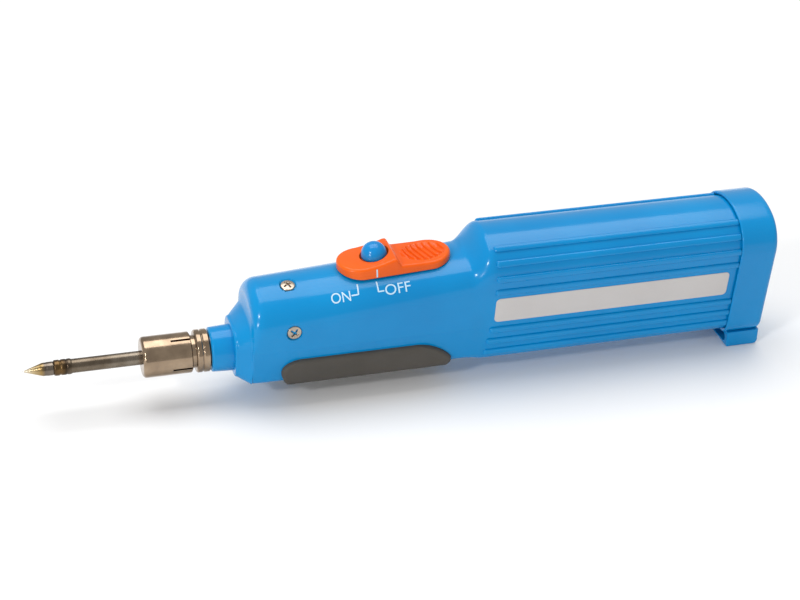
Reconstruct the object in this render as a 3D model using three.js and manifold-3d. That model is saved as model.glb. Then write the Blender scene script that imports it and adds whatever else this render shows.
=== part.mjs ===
// Battery soldering iron: a plug-in tip cartridge, a one-piece housing with a slide switch and a lock button,
// three cells in two stacked columns, and a pull-off end cap. Millimetres, +Z up, +X from the tip to the cap.
import * as THREE from "three";
import { mergeVertices } from "three/addons/utils/BufferGeometryUtils.js";
import Module from "manifold-3d";

const wasm = await Module();
wasm.setup();

// ---- driving dimensions; x is measured from the front of the neck, z from the axis of the tip ----
const clearance = 0.3; // between pieces that slide, or that sit in a turned group
const seatGap = 0.1; // between pieces that are fixed to each other
const wall = 1.3; // housing wall

const neck = { length: 5.3, frontRadius: 5.45, rearRadius: 5.7 };
const muzzle = { frontX: 5.3, rearX: 8.9 };
const front = {
  startX: 10, endX: 62.4, topAtStart: 17, topAtEnd: 19.8, halfWidth: 10.4, bottom: -7.3, bottomHalfWidth: 8.2,
  cornerAtStart: 8.6, cornerAtEnd: 5.6, archAtStart: 40, archAtEnd: 18,
};
const barrel = {
  startX: 68.4, halfWidth: 11.2, top: 25.3, bottom: -8.45, cornerRadius: 8.2, endX: 138, arch: 24,
  bottomHalfWidth: 8, bottomRadius: 3.2,
};
const rib = {
  startX: 68.7, width: 1.4, height: 0.45, spacing: 3.85, topWallZ: 12.9, bottomWallZ: 1.4,
  early: [0, 0, 0, 0, 0.4, 1, 1.4], // how much sooner each one starts, from the top down
};
const label = { startX: 69.2, length: 61.4, lowZ: 3.9, height: 7.0, thickness: 0.25, cornerRadius: 1 };

const cap = { startX: 132.5, endX: 142.3, step: 0.95, cornerRadius: 8.6, wall: 1.5 };
const lug = {
  startX: 133.5, halfWidth: 7.9, bottomZ: -13.1, endX: 142.1, slotHalfWidth: 6.4, slotHeight: 2.4,
  slotZ: -11.2,
  slotDepth: 5,
};

const cell = { radius: 7.05, bodyLength: 49, nubRadius: 2.7, nubLength: 1.2 };
const columns = {
  frontContactX: 33, lowerZ: 1.1, upperZ: 15.4, partitionX: 78, partition: 1.2, upperSpring: 7,
};
const contact = { thickness: 0.4, width: 8, height: 9 };
const batterySpring = { radius: 3.2, wire: 0.35, turns: 4 };

const ring = {
  frontX: -3.5, rearX: -0.3, radius: 5.25, spigotRadius: 4.0, spigotFrontX: -9.8, tailX: 10, bore: 2.7,
};
const sleeve = {
  frontX: -16.4, rearX: -4.5, radius: 5.0, slotCount: 4, slotWidth: 0.6, slotFrontX: -9.4, slotTurn: 21,
};
const tube = { frontX: -37.3, rearX: -9.5, radius: 1.72, inner: 1.34, crimpRearX: -32.9, crimpRadius: 1.92 };
const tip = {
  pointX: -44.5, pointRadius: 0.16, coneRearX: -39.8, radius: 1.62, shankRadius: 1.26, shankRearX: -30,
};
const core = { frontX: -29.4, rearX: -7.4, radius: 1.18 };
const pin = { rearX: -1.5, radius: 0.8 };
const socket = { frontX: -5.4, rearX: 14.2, contactInner: 0.9, contactOuter: 1.6 };
const block = { frontX: 14.6, rearX: 24.2 };

const screw = { x: 19, headRadius: 1.8, headHeight: 0.9, shankRadius: 0.95, length: 5.2, sink: 0.25 };
const screwLower = { z: 8, tilt: 0 };
const screwUpper = { tilt: 77 }; // degrees above the horizontal

const pad = { startX: 15.9, endX: 59, topZ: -0.1, proud: 1.25, seat: 0.5, cornerX: 4.2, cornerZ: 3.6 };

const slider = {
  centreX: 45.8, length: 28.2, halfWidth: 5.9, frontRise: 2.2, peakRise: 3.7, peakX: -0.6, dishRise: 1.7,
  skirt: 3.2,
  travel: 5.2, edge: 0.6, ridges: 6, ridgeSpacing: 1.45,
};
const stem = { frontX: -8, length: 7, width: 4.6 };
const carrier = { length: 13, halfWidth: 3.6, thickness: 1.2 };
const button = {
  offsetX: -4.8, radius: 3.15, wellFloor: 0.8, restZ: 2.1, topZ: 5.9, stemRadius: 1.1, stemEndZ: -0.9,
};
const switchPlate = { length: 26, thickness: 1.2, drop: 6.2, halfWidth: 6.9 };
const fixedContact = { length: 9, width: 3, thickness: 0.4, gap: 2.2 };
const wire = { radius: 0.6 };

const round = 24; // sides of a turned piece

// ---- making solids ----
function solid(geometry) {
  const bare = (geometry.index ? geometry.toNonIndexed() : geometry).clone();
  const shell = new THREE.BufferGeometry().setAttribute("position", bare.getAttribute("position"));
  const merged = mergeVertices(shell, 1e-4);
  const triVerts = new Uint32Array(merged.index.array);
  const vertProperties = merged.attributes.position.array;
  const made = new wasm.Manifold(new wasm.Mesh({ numProp: 3, vertProperties, triVerts }));
  if (made.volume() >= 0) return made;
  for (let i = 0; i < triVerts.length; i += 3) {
    [triVerts[i + 1], triVerts[i + 2]] = [triVerts[i + 2], triVerts[i + 1]];
  }
  return new wasm.Manifold(new wasm.Mesh({ numProp: 3, vertProperties, triVerts }));
}

function geometryOf(made) {
  const mesh = made.getMesh();
  const position = new Float32Array(mesh.numVert * 3);
  for (let i = 0; i < mesh.numVert; i++) {
    position.set(mesh.vertProperties.subarray(i * mesh.numProp, i * mesh.numProp + 3), i * 3);
  }
  const geometry = new THREE.BufferGeometry();
  geometry.setAttribute("position", new THREE.BufferAttribute(position, 3));
  geometry.setIndex(new THREE.BufferAttribute(mesh.triVerts, 1));
  geometry.computeVertexNormals();
  return geometry;
}

const join = (...solids) => solids.reduce((a, b) => a.add(b));
const cut = (body, ...tools) => tools.reduce((a, b) => a.subtract(b), body);

function box(x0, x1, y0, y1, z0, z1) {
  const geometry = new THREE.BoxGeometry(x1 - x0, y1 - y0, z1 - z0);
  return solid(geometry.translate((x0 + x1) / 2, (y0 + y1) / 2, (z0 + z1) / 2));
}

// A profile of [x, radius] points turned about the X axis.
function turned(profile, sides = round) {
  const points = profile.map(([x, r]) => new THREE.Vector2(r, x));
  return new THREE.LatheGeometry(points, sides).rotateZ(-Math.PI / 2);
}

// A closed outline in X and Z, extruded across Y.
function acrossY(shape, y0, y1, curveSegments = 6) {
  const geometry = new THREE.ExtrudeGeometry(shape, { depth: y1 - y0, bevelEnabled: false, curveSegments });
  return geometry.rotateX(Math.PI / 2).translate(0, y1, 0);
}

// A closed outline in Y and Z, extruded along X.
const sectionBasis = new THREE.Matrix4().makeBasis(
  new THREE.Vector3(0, 1, 0),
  new THREE.Vector3(0, 0, 1),
  new THREE.Vector3(1, 0, 0),
);
function alongX(shape, x0, x1, curveSegments = 6) {
  const geometry = new THREE.ExtrudeGeometry(shape, { depth: x1 - x0, bevelEnabled: false, curveSegments });
  return geometry.applyMatrix4(sectionBasis).translate(x0, 0, 0);
}

function roundedRectangle(x0, x1, y0, y1, r) {
  const shape = new THREE.Shape();
  shape.moveTo(x0 + r, y0).lineTo(x1 - r, y0).absarc(x1 - r, y0 + r, r, -Math.PI / 2, 0);
  shape.lineTo(x1, y1 - r).absarc(x1 - r, y1 - r, r, 0, Math.PI / 2);
  shape.lineTo(x0 + r, y1).absarc(x0 + r, y1 - r, r, Math.PI / 2, Math.PI);
  shape.lineTo(x0, y0 + r).absarc(x0 + r, y0 + r, r, Math.PI, 1.5 * Math.PI);
  return shape;
}

function stadium(half, radius) {
  const shape = new THREE.Shape();
  shape.moveTo(radius - half, -radius).lineTo(half - radius, -radius);
  shape.absarc(half - radius, 0, radius, -Math.PI / 2, Math.PI / 2);
  shape.lineTo(radius - half, radius).absarc(radius - half, 0, radius, Math.PI / 2, 1.5 * Math.PI);
  return shape;
}

// A helix of round wire about the X axis.
function coil(x0, x1, radius, wireRadius, turns) {
  class Helix extends THREE.Curve {
    getPoint(t, target = new THREE.Vector3()) {
      const angle = 2 * Math.PI * turns * t;
      return target.set(x0 + (x1 - x0) * t, radius * Math.cos(angle), radius * Math.sin(angle));
    }
  }
  const section = new THREE.Shape().absarc(0, 0, wireRadius, 0, 2 * Math.PI);
  const options = { steps: turns * 12, curveSegments: 3, extrudePath: new Helix() };
  return new THREE.ExtrudeGeometry(section, options);
}

// ---- the housing's cross-section: arched top, walls that lean in, small bottom corners ----
const mix = (a, b, t) => a + (b - a) * t;
const cornerSteps = 6;
const bottomSteps = 4;

// The half outline on +Y, from the top middle to the bottom middle, as [y, z] points. The top is a wide arc
// that turns into the corner's arc where both slope by "arch" degrees.
function cornerOf({ w, top, rt, arch }) {
  const slope = THREE.MathUtils.degToRad(arch);
  const wide = rt + (w - rt) / Math.sin(slope);
  return { slope, wide, y: w - rt, z: top - wide + (wide - rt) * Math.cos(slope) };
}

function halfSection(section) {
  const { w, top, rt, creaseW, creaseZ, wb, bottom, rb } = section;
  const corner = cornerOf(section);
  const upper = Math.atan2(w - creaseW, corner.z - creaseZ);
  const lower = Math.atan2(creaseW - wb, creaseZ - bottom - rb);
  const points = [0, 0.5].map((t) => {
    const a = t * corner.slope;
    return [corner.wide * Math.sin(a), top - corner.wide * (1 - Math.cos(a))];
  });
  for (let i = 0; i <= cornerSteps; i++) {
    const a = mix(Math.PI / 2 - corner.slope, -upper, i / cornerSteps);
    points.push([corner.y + rt * Math.cos(a), corner.z + rt * Math.sin(a)]);
  }
  points.push([creaseW, creaseZ]);
  for (let i = 0; i <= bottomSteps; i++) {
    const a = mix(-lower, -Math.PI / 2, i / bottomSteps);
    points.push([wb - rb + rb * Math.cos(a), bottom + rb + rb * Math.sin(a)]);
  }
  points.push([0, bottom]);
  return points;
}

// The same section made bigger by d all round, or smaller by -d.
function grown(s, d) {
  return {
    ...s,
    w: s.w + d,
    top: s.top + d,
    rt: s.rt + d,
    creaseW: s.creaseW + d,
    wb: s.wb + d,
    bottom: s.bottom - d,
    rb: Math.max(s.rb + d, 0.6),
  };
}

function ringOf(section) {
  const right = halfSection(section);
  const left = right.slice(1, -1).reverse();
  return [...right, ...left.map(([y, z]) => [-y, z])];
}

// A closed body through sections at rising x, each { x, section }.
function loft(stations) {
  const rings = stations.map(({ x, section }) => ringOf(section).map(([y, z]) => [x, y, z]));
  const count = rings[0].length;
  const positions = rings.flat(2);
  const index = [];
  for (let i = 0; i + 1 < rings.length; i++) {
    for (let j = 0; j < count; j++) {
      const a = i * count + j;
      const b = i * count + ((j + 1) % count);
      index.push(a, b, a + count, b, b + count, a + count);
    }
  }
  const last = (rings.length - 1) * count;
  for (let j = 1; j + 1 < count; j++) {
    index.push(0, j + 1, j, last, last + j, last + j + 1);
  }
  const geometry = new THREE.BufferGeometry();
  geometry.setAttribute("position", new THREE.Float32BufferAttribute(positions, 3));
  return geometry.setIndex(index);
}

function between(a, b, t) {
  return Object.fromEntries(Object.keys(a).map((key) => [key, mix(a[key], b[key], t)]));
}

const frontSlope = (front.topAtEnd - front.topAtStart) / (front.endX - front.startX);
const frontTop = (x) => front.topAtStart + frontSlope * (x - front.startX);

function frontSection(x) {
  const along = (x - front.startX) / (front.endX - front.startX);
  return {
    w: front.halfWidth,
    top: frontTop(x),
    rt: mix(front.cornerAtStart, front.cornerAtEnd, along),
    creaseW: front.halfWidth - 0.6,
    creaseZ: 3,
    wb: front.bottomHalfWidth,
    bottom: front.bottom,
    rb: 2.5,
    arch: mix(front.archAtStart, front.archAtEnd, along),
  };
}

function barrelSection() {
  const shape = { w: barrel.halfWidth, top: barrel.top, rt: barrel.cornerRadius, arch: barrel.arch };
  const corner = cornerOf(shape);
  const creaseZ = 3;
  const t = (corner.z - creaseZ) / (corner.z - barrel.bottom - barrel.bottomRadius);
  return {
    ...shape,
    creaseW: mix(barrel.halfWidth, barrel.bottomHalfWidth, t),
    creaseZ,
    wb: barrel.bottomHalfWidth,
    bottom: barrel.bottom,
    rb: barrel.bottomRadius,
  };
}

const muzzleFront = {
  w: 6.7, top: 6.3, rt: 3.6, creaseW: 6.6, creaseZ: 0, wb: 6.4, bottom: -5.3, rb: 3, arch: 12,
};
const muzzleRear = {
  w: 8.9, top: 10.2, rt: 5, creaseW: 8.8, creaseZ: 1, wb: 8.5, bottom: -7.1, rb: 2.6, arch: 16,
};

const faceX = muzzle.rearX + 0.3; // the main body's front face

function outerStations() {
  const stations = [
    { x: muzzle.frontX, section: muzzleFront },
    { x: muzzle.frontX + 0.6, section: grown(muzzleFront, 0.6) },
    { x: muzzle.rearX, section: muzzleRear },
  ];
  // The front face is rounded into the sides and the top by a quarter turn.
  const nose = 3.2;
  const shoulder = frontSection(front.startX);
  for (let i = 0; i <= 5; i++) {
    const a = (i / 5) * (Math.PI / 2);
    const x = faceX + nose * (1 - Math.cos(a));
    const full = { ...frontSection(x), bottom: mix(muzzleRear.bottom, shoulder.bottom, i / 5) };
    const shrink = nose * (1 - Math.sin(a));
    const small = { ...full, w: full.w - shrink * 0.3, top: full.top - shrink, rt: full.rt - shrink * 0.3 };
    stations.push({ x, section: small });
  }
  stations.push({ x: front.endX, section: frontSection(front.endX) });
  // An S-curve rises from the front body to the barrel.
  for (let i = 1; i <= 6; i++) {
    const x = mix(front.endX, barrel.startX, i / 6);
    const t = (1 - Math.cos((Math.PI * i) / 6)) / 2;
    stations.push({ x, section: between(frontSection(front.endX), barrelSection(), t) });
  }
  stations.push({ x: barrel.endX, section: barrelSection() });
  return stations;
}

function cavityStations() {
  const rise = between(frontSection(front.endX), barrelSection(), 0.5);
  return [
    { x: faceX + wall, section: grown(frontSection(front.startX), -wall - 1.6) },
    { x: faceX + wall + 3, section: grown(frontSection(faceX + wall + 3), -wall) },
    { x: front.endX, section: grown(frontSection(front.endX), -wall) },
    { x: (front.endX + barrel.startX) / 2 + wall, section: grown(rise, -wall) },
    { x: barrel.startX + wall, section: grown(barrelSection(), -wall) },
    { x: barrel.endX + 1, section: grown(barrelSection(), -wall) },
  ];
}

// A point of the barrel's wall on +Y and its outward direction, either at a height or round the top corner.
function barrelWallAt(z) {
  const section = barrelSection();
  const corner = cornerOf(section);
  const lean = Math.atan2(section.w - section.creaseW, corner.z - section.creaseZ);
  return { y: section.w - (corner.z - z) * Math.tan(lean), z, angle: -lean };
}
function barrelCornerAt(angle) {
  const section = barrelSection();
  const { y, z } = cornerOf(section);
  return { y: y + section.rt * Math.cos(angle), z: z + section.rt * Math.sin(angle), angle };
}

function ribPlaces() {
  const section = barrelSection();
  const onCorner = (rib.topWallZ + 2 * rib.spacing - cornerOf(section).z) / section.rt;
  return [
    barrelCornerAt(onCorner + rib.spacing / section.rt),
    barrelCornerAt(onCorner),
    barrelWallAt(rib.topWallZ + rib.spacing),
    barrelWallAt(rib.topWallZ),
    barrelWallAt(rib.bottomWallZ),
    barrelWallAt(rib.bottomWallZ - rib.spacing * 0.9),
    barrelWallAt(rib.bottomWallZ - rib.spacing * 1.75),
  ];
}

function ribSolid({ y, z, angle }, startX, side) {
  const sunk = 0.4;
  const half = rib.width / 2;
  const shape = new THREE.Shape();
  shape.moveTo(-sunk, -half - 0.15).lineTo(rib.height * 0.6, -half).lineTo(rib.height, -half * 0.5);
  shape.lineTo(rib.height, half * 0.5).lineTo(rib.height * 0.6, half).lineTo(-sunk, half + 0.15);
  const geometry = alongX(shape, startX, cap.startX - seatGap);
  geometry.rotateX(angle).translate(0, y, z);
  if (side < 0) geometry.scale(1, -1, 1);
  return solid(geometry);
}

// ---- screws: a turned body along X with its head at x = 0, then turned to point into the nose ----
function screwGeometry() {
  const { headRadius: r, headHeight: h, shankRadius: s, length } = screw;
  const profile = [
    [-h, 0], [-h, r * 0.62], [-h * 0.55, r * 0.93], [0, r], [0.01, s], [length - 1, s], [length, 0.2],
    [length, 0],
  ];
  const arm = 0.42;
  const depth = 0.75;
  const reach = r * 0.62;
  const cross = join(box(-h - 1, -h + depth, -reach, reach, -arm / 2, arm / 2),
    box(-h - 1, -h + depth, -arm / 2, arm / 2, -reach, reach));
  return geometryOf(cut(solid(turned(profile, 20)), cross));
}

// Where each screw's head sits: on the near side wall, and on the near shoulder.
function screwPlace(which) {
  const section = frontSection(screw.x);
  const corner = cornerOf(section);
  const tilt = THREE.MathUtils.degToRad(which.tilt);
  const surface = which === screwUpper ? corner.wide : mix(section.w, section.creaseW, 0.3);
  const matrix = new THREE.Matrix4();
  // The screw's own +X points inwards: to +Y, and downwards by its tilt.
  const inward = new THREE.Vector3(0, Math.cos(tilt), -Math.sin(tilt));
  const along = new THREE.Vector3(1, 0, 0);
  matrix.makeBasis(inward, along, new THREE.Vector3().crossVectors(inward, along));
  const from = new THREE.Vector3(0, 0, which === screwUpper ? section.top - corner.wide : which.z);
  const head = from.addScaledVector(inward, -(surface - screw.sink - screw.headHeight));
  return matrix.setPosition(screw.x, head.y, head.z);
}
const screwPlaces = [screwPlace(screwUpper), screwPlace(screwLower)];
const roundHole = (x0, x1, r, sides = round) => solid(turned([[x0, 0], [x0, r], [x1, r], [x1, 0]], sides));
function screwTool(place, headRadius, shankRadius) {
  const floor = seatGap;
  const head = turned([[-8, 0], [-8, headRadius], [floor, headRadius], [floor, 0]]);
  const hole = turned([[-1, 0], [-1, shankRadius], [screw.length + 1, shankRadius], [screw.length + 1, 0]]);
  return join(solid(head.applyMatrix4(place)), solid(hole.applyMatrix4(place)));
}

// ---- the switch, in a frame that lies on the sloping top: local x along the slope, z = 0 on the top ----
const slopeAngle = Math.atan(frontSlope);
const switchFrame = new THREE.Matrix4()
  .makeRotationY(-slopeAngle)
  .setPosition(slider.centreX, 0, frontTop(slider.centreX));
// The top is flattest at its rear end, so the slider's underside is that curve.
const flattest = frontSection(front.endX - 2);
const localSection = { ...flattest, top: 0, bottom: flattest.bottom - flattest.top, creaseZ: -15 };
function archSolid(grow, x0, x1) {
  const section = grown(localSection, grow);
  return solid(loft([{ x: x0, section }, { x: x1, section }]));
}
const inSwitchFrame = (made) => solid(geometryOf(made).applyMatrix4(switchFrame));

const slotFrontX = stem.frontX - slider.travel - clearance;
const slotRearX = stem.frontX + stem.length + clearance;
const slotHalfWidth = stem.width / 2 + clearance;
const plateTop = -wall - switchPlate.drop + switchPlate.thickness;

function switchSlot() {
  return inSwitchFrame(box(slotFrontX, slotRearX, -slotHalfWidth, slotHalfWidth, -wall - 1.5, 3));
}

// Ledges inside the housing, below the switch plate.
function plateLedges() {
  const low = plateTop - switchPlate.thickness - clearance - 1.2;
  const high = plateTop - switchPlate.thickness - clearance;
  const half = switchPlate.length / 2;
  const far = front.halfWidth - wall / 2;
  return [-1, 1].map((side) => {
    const y0 = side * far;
    const y1 = side * (switchPlate.halfWidth - 1);
    return inSwitchFrame(box(-half, half, Math.min(y0, y1), Math.max(y0, y1), low, high));
  });
}

// ---- grip pad: a saddle under the front body ----
function padOutline(extra) {
  const { startX, endX, topZ, cornerX, cornerZ } = pad;
  const x0 = startX - extra;
  const x1 = endX + extra;
  const z1 = topZ + extra;
  const low = barrel.bottom - 8;
  const shape = new THREE.Shape();
  shape.moveTo(x0 + 1.6, low).lineTo(x0, z1 - cornerZ).quadraticCurveTo(x0 + 0.8, z1, x0 + cornerX, z1);
  shape.lineTo(x1 - cornerX * 2, z1).quadraticCurveTo(x1 - cornerX * 0.7, z1 - 0.4, x1, z1 - cornerZ - 1.4);
  shape.lineTo(x1, low);
  return shape;
}
function padBody(extra, proud, seat) {
  const reach = (grow) => {
    const x0 = pad.startX - 4;
    const x1 = pad.endX + 2;
    return solid(loft([
      { x: x0, section: grown(frontSection(x0), grow) },
      { x: x1, section: grown(frontSection(x1), grow) },
    ]));
  };
  const outline = solid(acrossY(padOutline(extra), -20, 20));
  return cut(reach(proud).intersect(outline), reach(-seat));
}

// ---- pieces ----
const iron = new THREE.Group();
const place = new THREE.Group();
// The part's origin is the middle of its box, on the surface it stands on.
place.position.set(-(tip.pointX + cap.endX) / 2, 0, -lug.bottomZ);
iron.add(place);
const switchGroup = new THREE.Group();
switchGroup.applyMatrix4(switchFrame);
place.add(switchGroup);

function add(name, made, color, roughness, metalness, parent = place) {
  const geometry = made instanceof THREE.BufferGeometry ? made : geometryOf(made);
  const mesh = new THREE.Mesh(geometry, new THREE.MeshStandardMaterial({ color, roughness, metalness }));
  mesh.name = name;
  parent.add(mesh);
  return mesh;
}

const blue = 0x0b86c9;
const orange = 0xf1661c;
const rubber = 0x4d4842;
const nickel = 0xa89d90;
const steel = 0x8f8678;
const brass = 0xc9a85a;
const black = 0x232426;

function housing() {
  const outer = join(
    solid(loft(outerStations())),
    solid(turned([
      [0, 0], [0, neck.frontRadius], [neck.length + 0.6, neck.rearRadius], [neck.length + 0.6, 0],
    ], 32)),
    ...ribPlaces().flatMap((spot, i) => (
      [1, -1].map((side) => ribSolid(spot, rib.startX - rib.early[i], side))
    )),
  );
  const partition = box(columns.partitionX, columns.partitionX + columns.partition, -5, 5,
    columns.upperZ - 5, barrel.top);
  const cavity = cut(solid(loft(cavityStations())), partition, ...plateLedges());
  return cut(
    outer,
    cavity,
    roundHole(-1, muzzle.rearX + 4, ring.spigotRadius + seatGap),
    switchSlot(),
    padBody(seatGap, pad.proud + 2, pad.seat + seatGap),
    ...screwPlaces.map((spot) => screwTool(spot, screw.headRadius + 0.25, screw.shankRadius + 0.15)),
  );
}

function noseRing() {
  const { frontX, rearX, radius, spigotRadius, spigotFrontX, tailX, bore } = ring;
  const groove = 0.35;
  const middle = (frontX + rearX) / 2;
  return turned([
    [spigotFrontX, bore], [spigotFrontX, spigotRadius - 0.3], [spigotFrontX + 0.3, spigotRadius],
    [frontX, spigotRadius], [frontX, radius - 0.4], [frontX + 0.4, radius], [middle - groove, radius],
    [middle, radius - 0.2], [middle + groove, radius], [rearX, radius], [rearX, spigotRadius - 0.05],
    [tailX, spigotRadius - 0.05], [tailX, bore], [spigotFrontX, bore],
  ]);
}

function collarSleeve() {
  const { frontX, rearX, radius, slotCount, slotWidth, slotFrontX } = sleeve;
  const bore = ring.spigotRadius + 0.12;
  const floor = ring.spigotFrontX - 0.5;
  const body = solid(turned([
    [frontX, tube.radius + 0.05], [frontX, radius - 0.9], [frontX + 0.3, radius - 0.35], [frontX + 0.9,
    radius],
    [rearX - 0.3, radius], [rearX, radius - 0.3], [rearX, bore], [floor, bore], [floor, tube.radius + 0.05],
    [frontX, tube.radius + 0.05],
  ], 32));
  const slotTurn = THREE.MathUtils.degToRad(sleeve.slotTurn);
  const slots = [];
  for (let i = 0; i < slotCount; i++) {
    const slot = new THREE.BoxGeometry(rearX - slotFrontX + 1, radius * 1.2, slotWidth);
    slot.translate((rearX + slotFrontX + 1) / 2, radius, 0).rotateX(slotTurn + (i * 2 * Math.PI) / slotCount);
    slots.push(solid(slot));
  }
  return cut(body, ...slots);
}

function heaterTube() {
  const { frontX, rearX, radius, inner, crimpRearX, crimpRadius } = tube;
  return turned([
    [frontX, inner], [frontX, radius - 0.1], [frontX + 0.4, crimpRadius], [frontX + 1.5, crimpRadius],
    [frontX + 1.8, crimpRadius - 0.15], [frontX + 2.1, crimpRadius], [crimpRearX - 0.4, crimpRadius],
    [crimpRearX, radius], [rearX, radius], [rearX, inner], [frontX, inner],
  ]);
}

function solderingTip() {
  const { pointX, pointRadius, coneRearX, radius, shankRadius, shankRearX } = tip;
  const shoulderX = tube.frontX - seatGap;
  return turned([
    [pointX, 0], [pointX + 0.05, pointRadius], [coneRearX, radius], [shoulderX, radius], [shoulderX,
    shankRadius],
    [shankRearX, shankRadius], [shankRearX, 0],
  ]);
}

function socketBlock() {
  const section = grown(frontSection(block.frontX), -wall - clearance);
  const low = { ...section, bottom: section.bottom + 1 };
  return cut(
    solid(loft([{ x: block.frontX, section: low }, { x: block.rearX, section: low }])),
    roundHole(block.frontX - 1, block.rearX + 1, ring.bore + 0.05, 16),
    ...screwPlaces.map((spot) => screwTool(spot, 0.5, screw.shankRadius + 0.05)),
  );
}

// A ramp up to the peak, a step down, and a dished thumb rest with ridges across it.
function switchSlider() {
  const end = slider.length / 2;
  const { peakX, peakRise, dishRise, frontRise, edge, skirt } = slider;
  // The rounded block stands a little above the peak, so that the side shape alone sets the top.
  const above = 0.15;
  const options = {
    depth: peakRise + above + skirt - edge, bevelEnabled: true, bevelThickness: edge, bevelSize: edge,
    bevelOffset: -edge, bevelSegments: 2, curveSegments: 10,
  };
  const block = new THREE.ExtrudeGeometry(stadium(end, slider.halfWidth), options).translate(0, 0, -skirt);
  const body = solid(block);
  const side = new THREE.Shape();
  side.moveTo(-end - 1, -skirt - 2).lineTo(-end - 1, frontRise - 0.5).quadraticCurveTo(-end, frontRise,
  -end + 2,
    frontRise);
  side.lineTo(-end + 6, frontRise + 0.15).quadraticCurveTo(peakX - 3.5, peakRise - 0.8, peakX - 1, peakRise);
  side.lineTo(peakX, peakRise).lineTo(peakX + 1.3, dishRise);
  side.quadraticCurveTo(end / 2, dishRise - 0.4, end - 1.5, dishRise - 0.1);
  side.lineTo(end + 1, dishRise - 0.7).lineTo(end + 1, -skirt - 2);
  const dishX = (peakX + end) / 2 + 0.6;
  const dish = new THREE.SphereGeometry(1, 24, 12).scale(5.2, 3.9, 0.8).translate(dishX, 0, dishRise - 0.02);
  const ridges = Array.from({ length: slider.ridges }, (unused, i) => {
    const x = dishX + (i - (slider.ridges - 1) / 2) * slider.ridgeSpacing;
    const reach = 3.7 * Math.sqrt(1 - ((x - dishX) / 5.2) ** 2) - 0.3;
    return box(x - 0.3, x + 0.3, -reach, reach, dishRise - 1, dishRise - 0.3);
  });
  const well = (r, z0, z1) => solid(new THREE.CylinderGeometry(r, r, z1 - z0, round)
    .rotateX(Math.PI / 2).translate(button.offsetX, 0, (z0 + z1) / 2));
  const shaped = cut(body.intersect(solid(acrossY(side, -20, 20))), solid(dish),
    archSolid(clearance, -end - 1, end + 1));
  const post = box(stem.frontX, stem.frontX + stem.length, -stem.width / 2, stem.width / 2,
    -wall - clearance, 0.6);
  return cut(
    join(shaped, post, ...ridges),
    well(button.radius + clearance, button.wellFloor, peakRise + 2),
    well(button.stemRadius + clearance, -wall - 2, peakRise),
  );
}

function lockButton() {
  const { radius, restZ, topZ, stemRadius, stemEndZ, offsetX } = button;
  const rim = topZ - radius;
  const points = [[stemEndZ, 0], [stemEndZ, stemRadius], [restZ, stemRadius], [restZ, radius - 0.15],
    [rim, radius]];
  for (let i = 1; i <= 5; i++) {
    const a = (i / 5) * (Math.PI / 2);
    points.push([rim + (topZ - rim) * Math.sin(a), i === 5 ? 0 : radius * Math.cos(a)]);
  }
  return turned(points).rotateY(-Math.PI / 2).translate(offsetX, 0, 0);
}

function lockSpring() {
  const helix = coil(button.wellFloor + 0.2, button.restZ - 0.2, button.stemRadius + 0.85, 0.13, 2);
  return helix.rotateY(-Math.PI / 2).translate(button.offsetX, 0, 0);
}

function sliderCarrier() {
  const x = stem.frontX + stem.length / 2;
  const half = carrier.length / 2;
  const top = -wall - clearance - 0.35;
  return box(x - half, x + half, -carrier.halfWidth, carrier.halfWidth, top - carrier.thickness, top);
}

function sliderContact() {
  const top = -wall - clearance - 0.35 - carrier.thickness - 0.05;
  const low = plateTop + fixedContact.thickness + 0.12;
  const t = 0.35;
  const shape = new THREE.Shape();
  shape.moveTo(-5.5, top).lineTo(-5.5, top - t).lineTo(-4.6, top - t).lineTo(-3, low).lineTo(-1.8, low);
  shape.lineTo(-0.6, top - t).lineTo(0.6, top - t).lineTo(1.8, low).lineTo(3, low).lineTo(4.6, top - t);
  shape.lineTo(5.5, top - t).lineTo(5.5, top);
  return acrossY(shape, -1.6, 1.6).translate(stem.frontX + stem.length / 2, 0, 0);
}

function switchPlateSolid() {
  const half = switchPlate.length / 2;
  return box(-half, half, -switchPlate.halfWidth, switchPlate.halfWidth,
    plateTop - switchPlate.thickness, plateTop);
}

function switchContact(side) {
  const inner = fixedContact.gap / 2;
  const x0 = side < 0 ? -inner - fixedContact.length : inner;
  const y = fixedContact.width / 2;
  const base = plateTop + 0.03;
  return box(x0, x0 + fixedContact.length, -y, y, base, base + fixedContact.thickness);
}

const lowerFrontX = columns.frontContactX + contact.thickness + seatGap;
const cellLength = cell.bodyLength + cell.nubLength;
const lowerRearX = lowerFrontX + cellLength + seatGap;
const upperContactX = columns.partitionX + columns.partition + seatGap;
const upperFrontX = upperContactX + contact.thickness + columns.upperSpring + 2 * seatGap;

// A cell lies along X; its nub points to -X, or to +X when it is turned round.
function cellGeometry(x, z, nubForward) {
  const { radius: r, bodyLength, nubRadius, nubLength } = cell;
  const all = bodyLength + nubLength;
  const profile = [
    [0, 0], [0, nubRadius], [nubLength, nubRadius], [nubLength, r - 0.5], [nubLength + 0.5, r],
    [all - 0.5, r], [all, r - 0.5], [all, 0],
  ];
  const flipped = profile.map(([a, b]) => [all - a, b]).reverse();
  return turned(nubForward ? profile : flipped, 28).translate(x, 0, z);
}

const capFloorX = cap.endX - cap.wall;
const capPlateX = capFloorX - seatGap - contact.thickness;

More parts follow.
